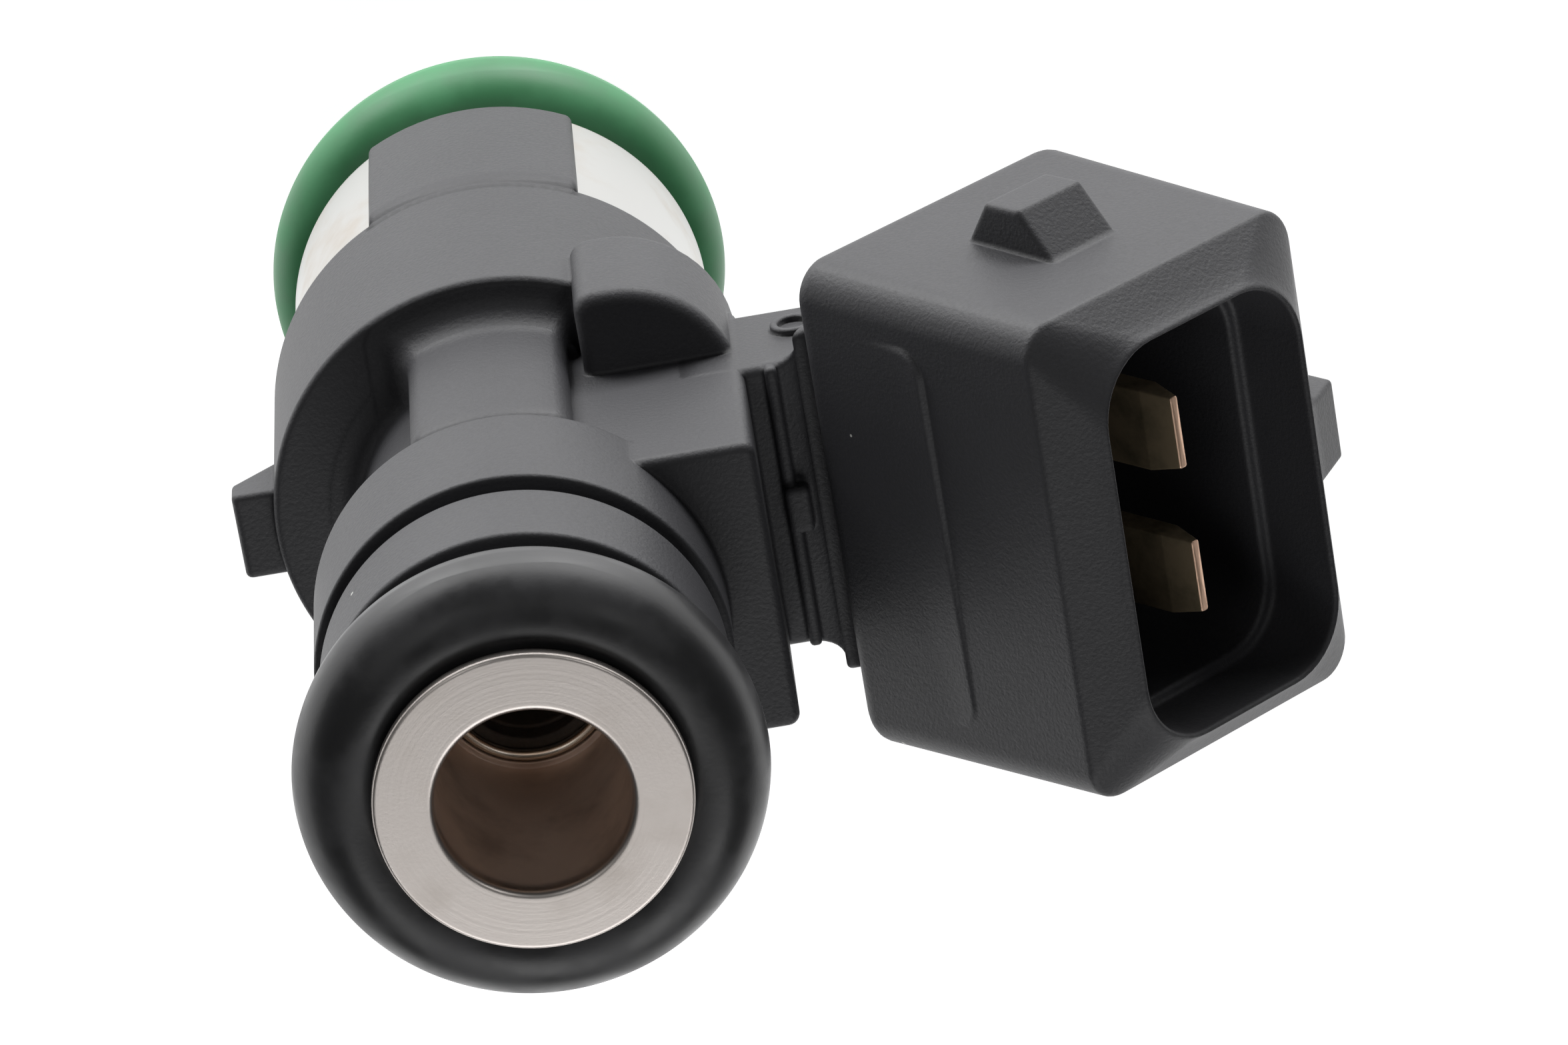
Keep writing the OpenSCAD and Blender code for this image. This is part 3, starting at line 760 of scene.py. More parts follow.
@dataclass(frozen=True)
class Metal(Finish):
    """Turned, drawn or stamped metal with fine marks, tarnish and bright edges."""

    colour: Rgb = (0.62, 0.62, 0.62)
    tarnish: Rgb = (0.40, 0.38, 0.35)
    roughness: tuple[float, float] = (0.28, 0.42)
    turning: tuple[float, float] = (0.00006, 0.0000012)
    tarnish_size: float = 0.003
    tarnish_from: float = 0.45
    edge: float = 0.00008
    metallic: float = 1.0

    def wire(self, kit: EffectKit) -> tuple[bpy.types.Material, Wiring, bpy.types.Node, bpy.types.NodeSocket,
                                            bpy.types.NodeSocket]:
        """Wires what all the metals share.

        Args:
            kit: the shared node groups.

        Returns:
            The material, its wiring, the shader, the colour's socket and the tarnish mask.
        """
        material, w, shader = self.start()
        turning = w.effect(kit, Effect.TURNING, Pitch=self.turning[0], Depth=self.turning[1])
        grain = w.effect(kit, Effect.GRAIN, Size=0.00009, Depth=0.0000012)
        cloud = w.effect(kit, Effect.BLOTCHES, Size=self.tarnish_size, Low=self.tarnish_from, High=0.8)
        edges = w.effect(kit, Effect.EDGES, Radius=self.edge, Gain=4.0)
        height = w.maths("ADD", turning.outputs["Height"], grain.outputs["Height"])
        shade = w.mix(cloud.outputs["Mask"], self.colour, self.tarnish)
        lighter = tuple(min(c * 1.3, 1) for c in self.colour)
        bright = w.mix(w.maths("MULTIPLY", edges.outputs["Mask"], 0.7), shade, lighter)
        w.join(w.between(cloud.outputs["Mask"], *self.roughness), shader.inputs["Roughness"])
        w.join(w.bump(height, edges.outputs["Normal"]), shader.inputs["Normal"])
        shader.inputs["Metallic"].default_value = self.metallic
        return material, w, shader, bright, cloud.outputs["Mask"]

    def build(self, kit: EffectKit) -> bpy.types.Material:
        """Wires the material.

        Args:
            kit: the shared node groups.

        Returns:
            The material.
        """
        material, w, shader, colour, _ = self.wire(kit)
        w.join(colour, shader.inputs["Base Color"])
        return material


@dataclass(frozen=True)
class InletSteel(Metal):
    """Satin stainless whose bore is browned by fuel."""

    bore: Rgb = (0.78, 0.63, 0.53)
    bore_r: float = 0.00312
    bore_z: float = 0.0507

    def build(self, kit: EffectKit) -> bpy.types.Material:
        """Wires the material: the bore's stain lies inside bore_r and below bore_z.

        Args:
            kit: the shared node groups.

        Returns:
            The material.
        """
        material, w, shader, colour, cloud = self.wire(kit)
        radius, z = w.radius_and_z()
        inside = w.maths("SUBTRACT", 1.0, w.ramp(radius, self.bore_r - 0.00004, self.bore_r + 0.00002))
        below = w.maths("SUBTRACT", 1.0, w.ramp(z, self.bore_z - 0.0005, self.bore_z))
        stain = w.mix(cloud, self.bore, tuple(c * 0.6 for c in self.bore))
        film = w.maths("MULTIPLY", inside, below)
        w.join(w.mix(film, colour, stain), shader.inputs["Base Color"])
        w.join(w.between(film, 1.0, 0.45), shader.inputs["Metallic"])
        return material


@dataclass(frozen=True)
class BladeBronze(Metal):
    """Olive-brown stamped bronze, bright coppery where the tip was cut."""

    cut: Rgb = (0.98, 0.66, 0.48)
    tip_origin: tuple[float, float, float] = (0.0, 0.0, 0.0)
    tip_axis: tuple[float, float, float] = (0.0, 0.0, 1.0)
    tip_depth: float = 0.00005

    def build(self, kit: EffectKit) -> bpy.types.Material:
        """Wires the material: the cut colour lies within tip_depth of the tips, along the socket's axis.

        Args:
            kit: the shared node groups.

        Returns:
            The material.
        """
        material, w, shader, colour, _ = self.wire(kit)
        offset = w.node("ShaderNodeVectorMath", operation="SUBTRACT")
        w.join(w.place(), offset.inputs[0])
        offset.inputs[1].default_value = self.tip_origin
        along = w.node("ShaderNodeVectorMath", operation="DOT_PRODUCT")
        w.join(offset.outputs["Vector"], along.inputs[0])
        along.inputs[1].default_value = self.tip_axis
        near_tip = w.ramp(along.outputs["Value"], -self.tip_depth, -self.tip_depth * 0.6)
        w.join(w.mix(near_tip, colour, self.cut), shader.inputs["Base Color"])
        return material


class FinishSet:
    """Every finish of the injector, by name."""

    def __init__(self, kit: EffectKit, socket: "SocketFrame") -> None:
        """Builds the materials.

        Args:
            kit: the shared node groups.
            socket: where the socket stands, for the blades' cut tips.
        """
        finishes: list[Finish] = [
            MouldedPlastic("moulding"),
            MouldedPlastic("retainer_plastic", colour=(0.035, 0.035, 0.038), grain=(0.00009, 0.000003)),
            MouldedPlastic("bobbin_plastic", colour=(0.11, 0.075, 0.045), worn=(0.16, 0.12, 0.08)),
            MouldedPlastic("filter_plastic", colour=(0.05, 0.045, 0.04), worn=(0.08, 0.075, 0.07),
                           specks=0.02),
            MouldedPlastic("filter_nylon", colour=(0.09, 0.08, 0.07), worn=(0.14, 0.13, 0.12), specks=0.02,
                           grain=(0.00006, 0.00001)),
            Rubber("black_rubber"),
            Rubber("green_rubber", colour=(0.040, 0.190, 0.075), bloom=(0.050, 0.235, 0.095),
                   dust=(0.25, 0.5, 0.33), roughness=(0.46, 0.6)),
            InletSteel("inlet_steel", colour=(0.66, 0.61, 0.575), tarnish=(0.56, 0.51, 0.47),
                       roughness=(0.36, 0.46), turning=(0.00012, 0.0000010)),
            Metal("housing_steel", colour=(0.46, 0.455, 0.445), tarnish=(0.42, 0.37, 0.32),
                  roughness=(0.38, 0.5), turning=(0.0002, 0.0000012)),
            Metal("valve_steel", colour=(0.58, 0.575, 0.56), roughness=(0.26, 0.4)),
            Metal("core_steel", colour=(0.50, 0.50, 0.505), roughness=(0.3, 0.45)),
            Metal("bright_steel", colour=(0.64, 0.64, 0.645), roughness=(0.2, 0.32)),
            Metal("ball_steel", colour=(0.75, 0.75, 0.765), roughness=(0.06, 0.12), turning=(0.00006, 0.0)),
            Metal("filter_brass", colour=(0.90, 0.84, 0.74), tarnish=(0.70, 0.60, 0.46),
                  roughness=(0.22, 0.34)),
            Metal("winding_copper", colour=(0.62, 0.28, 0.14), tarnish=(0.5, 0.2, 0.1),
                  turning=(0.00012, 0.00001)),
            BladeBronze("terminal_bronze", colour=(0.46, 0.36, 0.23), tarnish=(0.14, 0.12, 0.075),
                        roughness=(0.30, 0.5), tarnish_size=0.0014, tarnish_from=0.38, metallic=0.75,
                        tip_origin=tuple(socket.at(0, 0, BladeSizes().tip_z) * MM), tip_axis=socket.axis),
        ]
        self.materials = {finish.name: finish.build(kit) for finish in finishes}

    def __getitem__(self, name: str) -> bpy.types.Material:
        """Gives a material by its name."""
        return self.materials[name]


# ---- The socket's own frame ----


@dataclass
class SocketFrame:
    """Where the socket stands: local x across the blades, local y as Y, local z up the plug axis."""

    x: float = 16.98
    z: float = 40.45
    lean: float = math.radians(40)

    @property
    def across(self) -> tuple[float, float, float]:
        """Direction of local x."""
        return (math.cos(self.lean), 0.0, -math.sin(self.lean))

    @property
    def axis(self) -> tuple[float, float, float]:
        """Direction of local z."""
        return (math.sin(self.lean), 0.0, math.cos(self.lean))

    def put(self, grid: np.ndarray) -> np.ndarray:
        """Puts local points in the frame."""
        return placed(grid, (self.x, 0, self.z), self.across, (0, 1, 0), self.axis)

    def at(self, u: float, v: float, w: float) -> np.ndarray:
        """Puts one local point in the frame."""
        return self.put(np.array([u, v, w], dtype=float))


# ---- Overmould ----


@dataclass
class TurnedMoulding:
    """The turned body of the moulding: skirt, neck, collar, clip groove, seal ring and O-ring seat."""

    bore_r: float = 3.76
    can_r: float = 7.2
    can_z: float = 25.6
    skirt_r: float = 7.9
    skirt_z: tuple[float, float] = (18.0, 27.0)
    neck_r: float = 5.0
    witness_r: float = 6.0
    collar_r: float = 6.6
    collar_z: tuple[float, float] = (35.8, 40.95)
    groove_r: float = 5.6
    seal_r: float = 6.43
    seal_z: tuple[float, float] = (41.68, 45.24)
    seat_r: float = 5.2
    seat_z: float = 46.9

    def grid(self) -> np.ndarray:
        """Turns the profile: straight steps whose corners are rounded, with a fillet at the neck's foot.

        Returns:
            The grid of points.
        """
        low, top = self.skirt_z
        profile = rounded([
            (self.can_r, low, 0.02), (self.skirt_r, low, 0.12), (self.skirt_r, top, 0.22),
            (self.witness_r + 0.07, top, 0.01), (self.witness_r + 0.04, top + 0.035, 0.01),
            (self.witness_r, top, 0.01), (self.neck_r, top, 0.75),
            (self.neck_r, self.collar_z[0], 0.35), (self.collar_r, self.collar_z[0], 0.14),
            (self.collar_r, self.collar_z[1], 0.12), (self.groove_r, self.collar_z[1], 0.06),
            (self.groove_r, self.seal_z[0], 0.06), (self.seal_r, self.seal_z[0], 0.12),
            (self.seal_r, self.seal_z[1], 0.16), (self.seat_r, self.seal_z[1], 0.12),
            (self.seat_r, self.seat_z, 0.12), (self.bore_r, self.seat_z, 0.02),
            (self.bore_r, self.can_z, 0.02), (self.can_r, self.can_z, 0.02),
        ], 5)
        return turned(profile)


@dataclass
class CurvedPads:
    """The tongues on the coil can and the ribs on the neck: slabs with flat sides and a round outside."""

    corner_steps: int = 6
    tongue_half: float = 3.55
    tongue_inner: float = 7.205
    tongue_r: tuple[float, float] = (7.6, 7.903)
    tongue_z: tuple[float, float] = (9.4, 18.4)
    rib_half: float = 2.6
    rib_inner: float = 4.4
    rib_r: float = 6.4
    rib_foot: float = 1.25
    rib_z: tuple[float, float] = (27.0, 36.0)

    @staticmethod
    def wrap(grid: np.ndarray) -> np.ndarray:
        """Wraps (x, radius, z) round the axis: y = sqrt(radius^2 - x^2)."""
        x, radius, z = grid[..., 0], grid[..., 1], grid[..., 2]
        return np.stack([x, np.sqrt(np.maximum(radius ** 2 - x ** 2, 0)), z], axis=-1)

    def strip(self, half: float, inner: float, outer: np.ndarray, z: np.ndarray, flare: np.ndarray,
              radius: float) -> np.ndarray:
        """A slab whose outside radius and half width follow its height.

        The section at height z is the box |x| < half + flare, inner < r < outer + flare, with its outer
        corners rounded; it is wrapped round the axis.

        Args:
            half: half width.
            inner: inside radius.
            outer: outside radius at each height.
            z: heights.
            flare: growth at each height.
            radius: radius of the outer corners.

        Returns:
            The grid of points.
        """
        rings = []
        for out, high, more in zip(outer, z, flare):
            corner = rounded(box_corners(-half - more, half + more, inner, out + more, radius),
                             self.corner_steps)
            fine = self.fill(corner)
            rings.append(np.column_stack([fine, np.full(len(fine), high)]))
        return self.wrap(np.stack(rings))

    def fill(self, ring: np.ndarray, parts: int = 16) -> np.ndarray:
        """Splits the straight sides of a ring into equal parts, so that they can bend.

        Args:
            ring: a rounded box, whose straight sides start at the last point of each corner's arc.
            parts: parts of each side.

        Returns:
            The ring with its new points.
        """
        ahead = np.roll(ring, -1, axis=0)
        counts = np.ones(len(ring), dtype=int)
        counts[self.corner_steps::self.corner_steps + 1] = parts
        start = np.repeat(ring, counts, axis=0)
        step = np.repeat((ahead - ring) / counts[:, None], counts, axis=0)
        order = np.concatenate([np.arange(c) for c in counts])
        return start + step * order[:, None]

    def tongue(self) -> np.ndarray:
        """One tongue, with its free end rounded and its outside drawn in towards that end.

        Returns:
            The grid of points.
        """
        end = np.array(low_edge_rows(self.tongue_z[0], 0.25))
        rows = np.vstack([end, [[0, z] for z in np.linspace(self.tongue_z[0] + 1, self.tongue_z[1], 6)]])
        left = (self.tongue_z[1] - rows[:, 1]) / (self.tongue_z[1] - self.tongue_z[0])
        outer = self.tongue_r[1] - (self.tongue_r[1] - self.tongue_r[0]) * left ** 2
        return self.strip(self.tongue_half, self.tongue_inner, outer, rows[:, 1], rows[:, 0], 0.16)

    def rib(self) -> np.ndarray:
        """One neck rib, with a wide fillet where it runs out on the skirt.

        Returns:
            The grid of points.
        """
        straight = [(0.0, z) for z in np.linspace(29, self.rib_z[1], 6)]
        rows = np.array(foot_rows(self.rib_z[0], self.rib_foot) + straight)
        outer = np.full(len(rows), self.rib_r)
        return self.strip(self.rib_half, self.rib_inner, outer, rows[:, 1], rows[:, 0], 0.45)


@dataclass
class HoodAndTower:
    """The rounded hood over the terminals' feet, the square tower and the web that carries the socket."""

    socket: SocketFrame
    hood_x: tuple[float, float] = (3.1, 8.1)
    hood_half: float = 7.75
    hood_corner: float = 3.85
    hood_z: tuple[float, float] = (24.5, 29.7)
    tower_x: float = 8.2
    tower_half: float = 4.95
    tower_top: float = 37.6
    web_z: tuple[float, float] = (26.4, 31.3)
    web_flare: float = 1.1
    web_gap: float = 0.75
    web_sink: float = 0.35
    web_inner_z: float = 30.9
    rib_x: float = 8.85
    mark_at: tuple[float, float] = (10.0, 28.3)
    socket_back: float = -10.9

    def hood(self) -> np.ndarray:
        """The hood: a box with two wide corners and two small ones, and a rounded rim.

        Returns:
            The grid of points.
        """
        x0, x1 = self.hood_x
        half, wide = self.hood_half, self.hood_corner
        outline = [(x0, -half, 0.7), (x1, -half, wide), (x1, half, wide), (x0, half, 0.7)]
        rows = low_edge_rows(self.hood_z[0], 0.25) + top_edge_rows(self.hood_z[1], 0.45)
        return carried(outline, rows, 14)

    def tower(self) -> np.ndarray:
        """The tower: a box with rounded edges and a rounded top.

        Returns:
            The grid of points.
        """
        outline = box_corners(0.3, self.tower_x, -self.tower_half, self.tower_half, 0.4)
        rows = [(0.0, 26.0), (0.0, 30.0)] + top_edge_rows(self.tower_top, 0.28)
        return carried(outline, rows)

    def back_x(self, z: np.ndarray) -> np.ndarray:
        """Where the socket's back face stands at each height z.

        Args:
            z: heights.

        Returns:
            The face's x at each height.
        """
        lean = self.socket.lean
        top_x = self.socket.x + self.socket_back * math.sin(lean)
        top_z = self.socket.z + self.socket_back * math.cos(lean)
        return top_x + (top_z - z) / math.tan(lean)

    def web(self) -> np.ndarray:
        """The web: a rounded box section from the tower to the slanted back of the socket.

        At share s of its way, x = x0 + s (back_x(z) - web_gap - x0), and the last ring is sunk in the socket.
        Over the last part its half width grows by the fillet r (1 - sqrt(1 - t^2)), with t from 0 to 1.

        Returns:
            The grid of points.
        """
        share = np.concatenate([np.linspace(0, 0.5, 4), 1 - 0.38 * (1 - np.sin(quarter(8)))])
        run = np.clip((share - share[4]) / (1 - share[4]), 0, 1)
        flare = self.web_flare * (1 - np.sqrt(1 - run ** 2))
        x0 = self.tower_x - 2
        sink = np.append(np.zeros(len(share)), self.web_gap + self.web_sink)
        rings = []
        for s, more, deeper in zip(np.append(share, 1), np.append(flare, flare[-1]), sink):
            half = self.tower_half - 0.01 + more
            low, high = self.web_z[0] - more, self.web_z[1] + more * 0.2
            ring = rounded(box_corners(-half, half, low, high, 0.3), 6)
            x = x0 + s * (self.back_x(ring[:, 1]) - self.web_gap - x0) + deeper
            rings.append(np.column_stack([x, ring[:, 0], ring[:, 1]]))
        return np.stack(rings)

    def web_rib(self) -> np.ndarray:
        """The thin rib across the web's upper face.

        Returns:
            The grid of points.
        """
        half = self.tower_half - 0.02
        outline = box_corners(self.rib_x, self.rib_x + 0.4, -half, half, 0.15)
        return carried(outline, [(0.0, self.web_inner_z)] + top_edge_rows(self.web_z[1] + 0.3, 0.14))

    def web_nub(self) -> np.ndarray:
        """The small block on the thin rib."""
        outline = box_corners(self.rib_x, self.rib_x + 0.8, -0.8, 0.8, 0.18)
        return carried(outline, [(0.0, self.web_inner_z)] + top_edge_rows(self.web_z[1] + 0.6, 0.16))

    def boss(self) -> np.ndarray:
        """The small round boss beside the neck rib."""
        outline = box_corners(1.75, 2.95, 4.4, 5.6, 0.59)
        return carried(outline, [(0.0, 26.8)] + top_edge_rows(27.9, 0.2))

    def ring_mark(self) -> np.ndarray:
        """The raised ring left by a moulding pin on the web's side: a low ring about a line along Y.

        Returns:
            The grid of points.
        """
        profile = rounded([(0.5, -0.2, 0.02), (0.75, -0.2, 0.02), (0.75, 0.2, 0.06), (0.5, 0.2, 0.06)], 4)
        origin = (self.mark_at[0], self.tower_half, self.mark_at[1])
        return placed(turned(profile, 48), origin, (1, 0, 0), (0, 0, 1), (0, 1, 0))

    def lug(self) -> np.ndarray:
        """The locating lug opposite the socket, with a sloping lower end.

        Returns:
            The grid of points.
        """
        outline = [(-9.2, 25.2, 0.2), (-7.4, 23.4, 0.1), (-7.0, 23.4, 0.1), (-7.0, 26.3, 0.1),
                   (-9.2, 26.3, 0.25)]
        rows = low_edge_rows(-1.5, 0.2) + top_edge_rows(1.5, 0.2)
        return placed(carried(outline, rows), (0, 0, 0), (1, 0, 0), (0, 0, 1), (0, 1, 0))


@dataclass
class SocketShell:
    """The socket: a box with a bevelled mouth, a stepped cavity, a raised panel and latch nubs."""

    socket: SocketFrame
    width: float = 11.85
    length: float = 16.42
    depth: float = 10.9
    far_draft: float = 0.4
    end_draft: float = 0.35
    corner_r: float = 1.2
    back_edge: float = 0.9
    lip_z: float = 1.6
    lip_in: float = 1.45
    mouth: tuple[float, float] = (8.6, 13.4)
    mouth_r: float = 2.3
    soft: float = 0.3
    ledge_z: float = -1.2
    ledge_in: float = 0.4
    floor_z: float = -9.3
    floor_r: float = 0.4
    panel_edge: float = -5.0
    panel_h: float = 0.2
    panel_fall: float = 0.12
    nub_half: float = 1.45

    def ring(self, x0: float, x1: float, half: float, radius: float, z: float, steps: int = 10) -> np.ndarray:
        """One rounded rectangle of the shell at height z."""
        flat = rounded(box_corners(x0, x1, -half, half, radius), steps)
        return np.column_stack([flat, np.full(len(flat), z)])

    def outside(self, z: float, inset: float) -> np.ndarray:
        """A ring of the straight outside, which leans out a little towards the back.

        Args:
            z: the ring's height.
            inset: how far it is drawn in.

        Returns:
            The ring's points.
        """
        share = min(max(-z / self.depth, 0), 1)
        x1 = self.width + self.far_draft * share
        half = self.length / 2 + self.end_draft * share
        return self.ring(inset, x1 - inset, half - inset, max(self.corner_r, inset + 0.05), z)

    def cavity(self, z: float, inset: float) -> np.ndarray:
        """A ring of the cavity."""
        centre, half_w, half_l = self.width / 2, self.mouth[0] / 2 - inset, self.mouth[1] / 2 - inset
        return self.ring(centre - half_w, centre + half_w, half_l, self.mouth_r - inset * 0.8, z)

    def lip(self, share: float, z: float, spread: float) -> np.ndarray:
        """A ring on the way from the outside's corner, share 0, to the mouth's edge, share 1.

        Args:
            share: the way from the corner to the mouth.
            z: the ring's height.
            spread: growth of the mouth's edge.

        Returns:
            The ring's points.
        """
        inset = self.lip_in * share
        half_w0, half_l0 = self.width / 2 - inset, self.length / 2 - inset
        half_w1, half_l1 = self.mouth[0] / 2 + spread, self.mouth[1] / 2 + spread
        blend = share ** 3
        half_w = half_w0 * (1 - blend) + half_w1 * blend
        half_l = half_l0 * (1 - blend) + half_l1 * blend
        centre = self.width / 2
        radius = self.corner_r + (self.mouth_r + spread - self.corner_r) * share
        return self.ring(centre - half_w, centre + half_w, half_l, radius, z)

    def shell(self) -> np.ndarray:
        """The closed shell: back, outside, soft corner, bevel, thin round lip, cavity, ledge and floor.

        Returns:
            The grid of points.
        """
        back, edge = -self.depth, self.back_edge
        rings = [self.outside(back + edge * (1 - math.cos(t)), edge * (1 - math.sin(t))) for t in quarter(7)]
        rings.append(self.outside(-0.45, 0.0))
        slope = math.atan2(self.lip_in, self.lip_z)
        tangent = self.soft * math.tan(slope / 2)
        for t in np.linspace(0, slope, 7):
            z = -tangent + self.soft * math.sin(t)
            inset = self.soft * (1 - math.cos(t))
            rings.append(self.lip(inset / self.lip_in, z, 0.0) if inset > 0 else self.outside(z, 0.0))
        for share in (0.5, 0.75, 0.9):
            rings.append(self.lip(share, self.lip_z * share, 0.18))
        for t in np.linspace(0.3, math.pi / 2, 6):
            rings.append(self.cavity(self.lip_z - 0.16 * (1 - math.cos(t)) - 0.02, -0.15 * (1 - math.sin(t))))
        for z, inset in ((0.6, 0.0), (self.ledge_z + 0.15, 0.02), (self.ledge_z + 0.03, 0.06),
                         (self.ledge_z, 0.14), (self.ledge_z - 0.01, self.ledge_in - 0.1),
                         (self.ledge_z - 0.05, self.ledge_in - 0.02), (self.ledge_z - 0.14, self.ledge_in)):
            rings.append(self.cavity(z, inset))
        wall_in = self.ledge_in + 0.02
        rings.append(self.cavity(self.floor_z + 0.5, wall_in))
        for t in quarter(4):
            z = self.floor_z + self.floor_r * (1 - math.sin(t))
            rings.append(self.cavity(z, wall_in + self.floor_r * (1 - math.cos(t))))
        return self.socket.put(np.stack(rings))

    def panel(self) -> np.ndarray:
        """The raised panel on the inner long wall: its edge stands proud by the mouth and fades to the back.

        height = panel_h - panel_fall (distance from that edge) - 0.012 (distance below the middle)^1.4

        Returns:
            The grid of points.
        """
        edge = self.panel_edge
        outline = box_corners(-6.6, 6.6, -self.depth + 0.9, edge, 0.9)
        grid = carried(outline, [(0.0, -0.8)] + top_edge_rows(self.panel_h, 0.14), 8)
        grid[..., 2] -= self.panel_fall * (edge - grid[..., 1]) + 0.012 * np.maximum(-grid[..., 0], 0) ** 1.4
        return self.socket.put(placed(grid, (0, 0, 0), (0, 1, 0), (0, 0, 1), (-1, 0, 0)))

    def end_nub(self) -> np.ndarray:
        """The latch nub on an end wall: a block with two slopes, carried across the socket.

        Returns:
            The grid of points.
        """
        half = self.length / 2
        outline = [(half - 0.5, -6.96, 0.05), (half + 0.14, -6.96, 0.1), (half + 1.65, -5.9, 0.2),
                   (half + 1.65, -4.4, 0.22), (half, -3.0, 0.1), (half - 0.5, -3.0, 0.05)]
        middle = self.width / 2
        rows = low_edge_rows(middle - self.nub_half, 0.17) + top_edge_rows(middle + self.nub_half, 0.17)
        return self.socket.put(placed(carried(outline, rows), (0, 0, 0), (0, 1, 0), (0, 0, 1), (1, 0, 0)))

    def side_nub(self) -> np.ndarray:
        """The latch nub on the outer long wall, with a cut upper corner.

        Returns:
            The grid of points.
        """
        out = self.width
        outline = [(out - 0.7, -3.0, 0.05), (out, -3.0, 0.08), (out + 1.4, -2.2, 0.2),
                   (out + 1.4, -0.4, 0.2), (out - 0.5, 0.5, 0.1), (out - 0.7, 0.5, 0.05)]
        rows = low_edge_rows(-1.4, 0.17) + top_edge_rows(1.4, 0.17)
        return self.socket.put(placed(carried(outline, rows), (0, 0, 0), (1, 0, 0), (0, 0, 1), (0, 1, 0)))


@dataclass
class Overmould:
    """The whole moulding as one piece."""

    socket: SocketFrame

    def build(self, finishes: FinishSet) -> bpy.types.Object:
        """Builds the moulding from its closed patches.

        Args:
            finishes: the injector's finishes.

        Returns:
            The new object.
        """
        body, pads = TurnedMoulding(), CurvedPads()
        block, shell = HoodAndTower(self.socket), SocketShell(self.socket)
        skin = Skin().add(body.grid(), loop=True)
        for grid in (pads.tongue(), pads.rib(), block.boss(), shell.end_nub()):
            skin.both_sides(grid)
        skin.both_sides(block.ring_mark(), loop=True)
        for grid in (block.hood(), block.tower(), block.web(), block.web_rib(), block.web_nub(), block.lug(),
                     shell.shell(), shell.panel(), shell.side_nub()):
            skin.add(grid)
        return skin.build("overmould_shell", finishes, "moulding", "overmould")


# ---- Turned pieces and rings ----


@dataclass
class InletTube:
    """The flared inlet tube with its counterbore."""

    bore_r: float = 3.0
    lower_bore_r: float = 2.8
    tube_r: float = 3.76
    lip_r: float = 4.89
    lip_h: float = 0.5
    bore_depth: float = 9.2

    def build(self, finishes: FinishSet) -> bpy.types.Object:
        """Turns the tube: a straight wall, a rounded lip and a softly rounded mouth.

        Args:
            finishes: the injector's finishes.

        Returns:
            The new object.
        """
        low, top = node_span("inlet_tube")
        profile = rounded([
            (self.lower_bore_r, low, 0.02), (self.tube_r, low, 0.02), (self.tube_r, top - self.lip_h, 0.06),
            (self.lip_r, top - self.lip_h, 0.12), (self.lip_r, top, 0.12), (self.bore_r, top, 0.2),
            (self.bore_r, top - self.bore_depth, 0.02), (self.lower_bore_r, top - self.bore_depth, 0.03),
        ], 8)
        return turned_piece("inlet_tube_turned", profile, finishes, "inlet_steel", "inlet_tube")


@dataclass
class FilterRim:
    """The brass ring that holds the inlet filter."""

    outer_r: float = 2.78
    inner_r: float = 2.45

    def build(self, finishes: FinishSet) -> bpy.types.Object:
        """Turns the ring with a rolled upper rim.

        Args:
            finishes: the injector's finishes.

        Returns:
            The new object.
        """
        low, top = node_span("filter_ring")
        profile = rounded([(self.inner_r, low, 0.03), (self.outer_r, low, 0.08), (self.outer_r, top, 0.17),
                           (self.inner_r, top, 0.17)], 7)
        return turned_piece("filter_rim", profile, finishes, "filter_brass", "filter_ring", 128)


@dataclass
class ORing:
    """A moulded O-ring with a faint parting line."""

    node: str
    slot: str
    inner_r: float
    wire_r: float = 1.765
    line_h: float = 0.012
    line_width: float = 0.05

    def build(self, finishes: FinishSet) -> bpy.types.Object:
        """Turns the wire's section: a circle of radius wire_r, proud by line_h in two narrow bands.

        The bands stand where the section's angle is near 0 and near pi, on the plane through the ring.

        Args:
            finishes: the injector's finishes.

        Returns:
            The new object.
        """
        low, high = node_span(self.node)
        angle = np.linspace(0, 2 * math.pi, 96, endpoint=False)
        line = self.line_h * np.exp(-(np.sin(angle) / self.line_width) ** 2)
        radius = self.wire_r - self.line_h + line
        mean = self.inner_r + self.wire_r
        profile = np.column_stack([mean + radius * np.cos(angle), (low + high) / 2 + radius * np.sin(angle)])
        return turned_piece(self.node + "_skin", profile, finishes, self.slot, self.node, 216)


@dataclass
class CoilCan:
    """The drawn steel can round the coil."""

    outer_r: float = 7.2
    wall: float = 0.6
    floor: float = 1.0
    hole_r: float = 4.46

    def build(self, finishes: FinishSet) -> bpy.types.Object:
        """Turns the can: a cup with a drawn lower corner.

        Args:
            finishes: the injector's finishes.

        Returns:
            The new object.
        """
        low, top = node_span("coil_housing")
        inner = self.outer_r - self.wall
        profile = rounded([
            (self.hole_r, low, 0.05), (self.outer_r, low, 0.5), (self.outer_r, top, 0.08), (inner, top, 0.08),
            (inner, low + self.floor, 0.1), (self.hole_r, low + self.floor, 0.05),
        ], 8)
        return turned_piece("coil_can", profile, finishes, "housing_steel", "coil_housing")


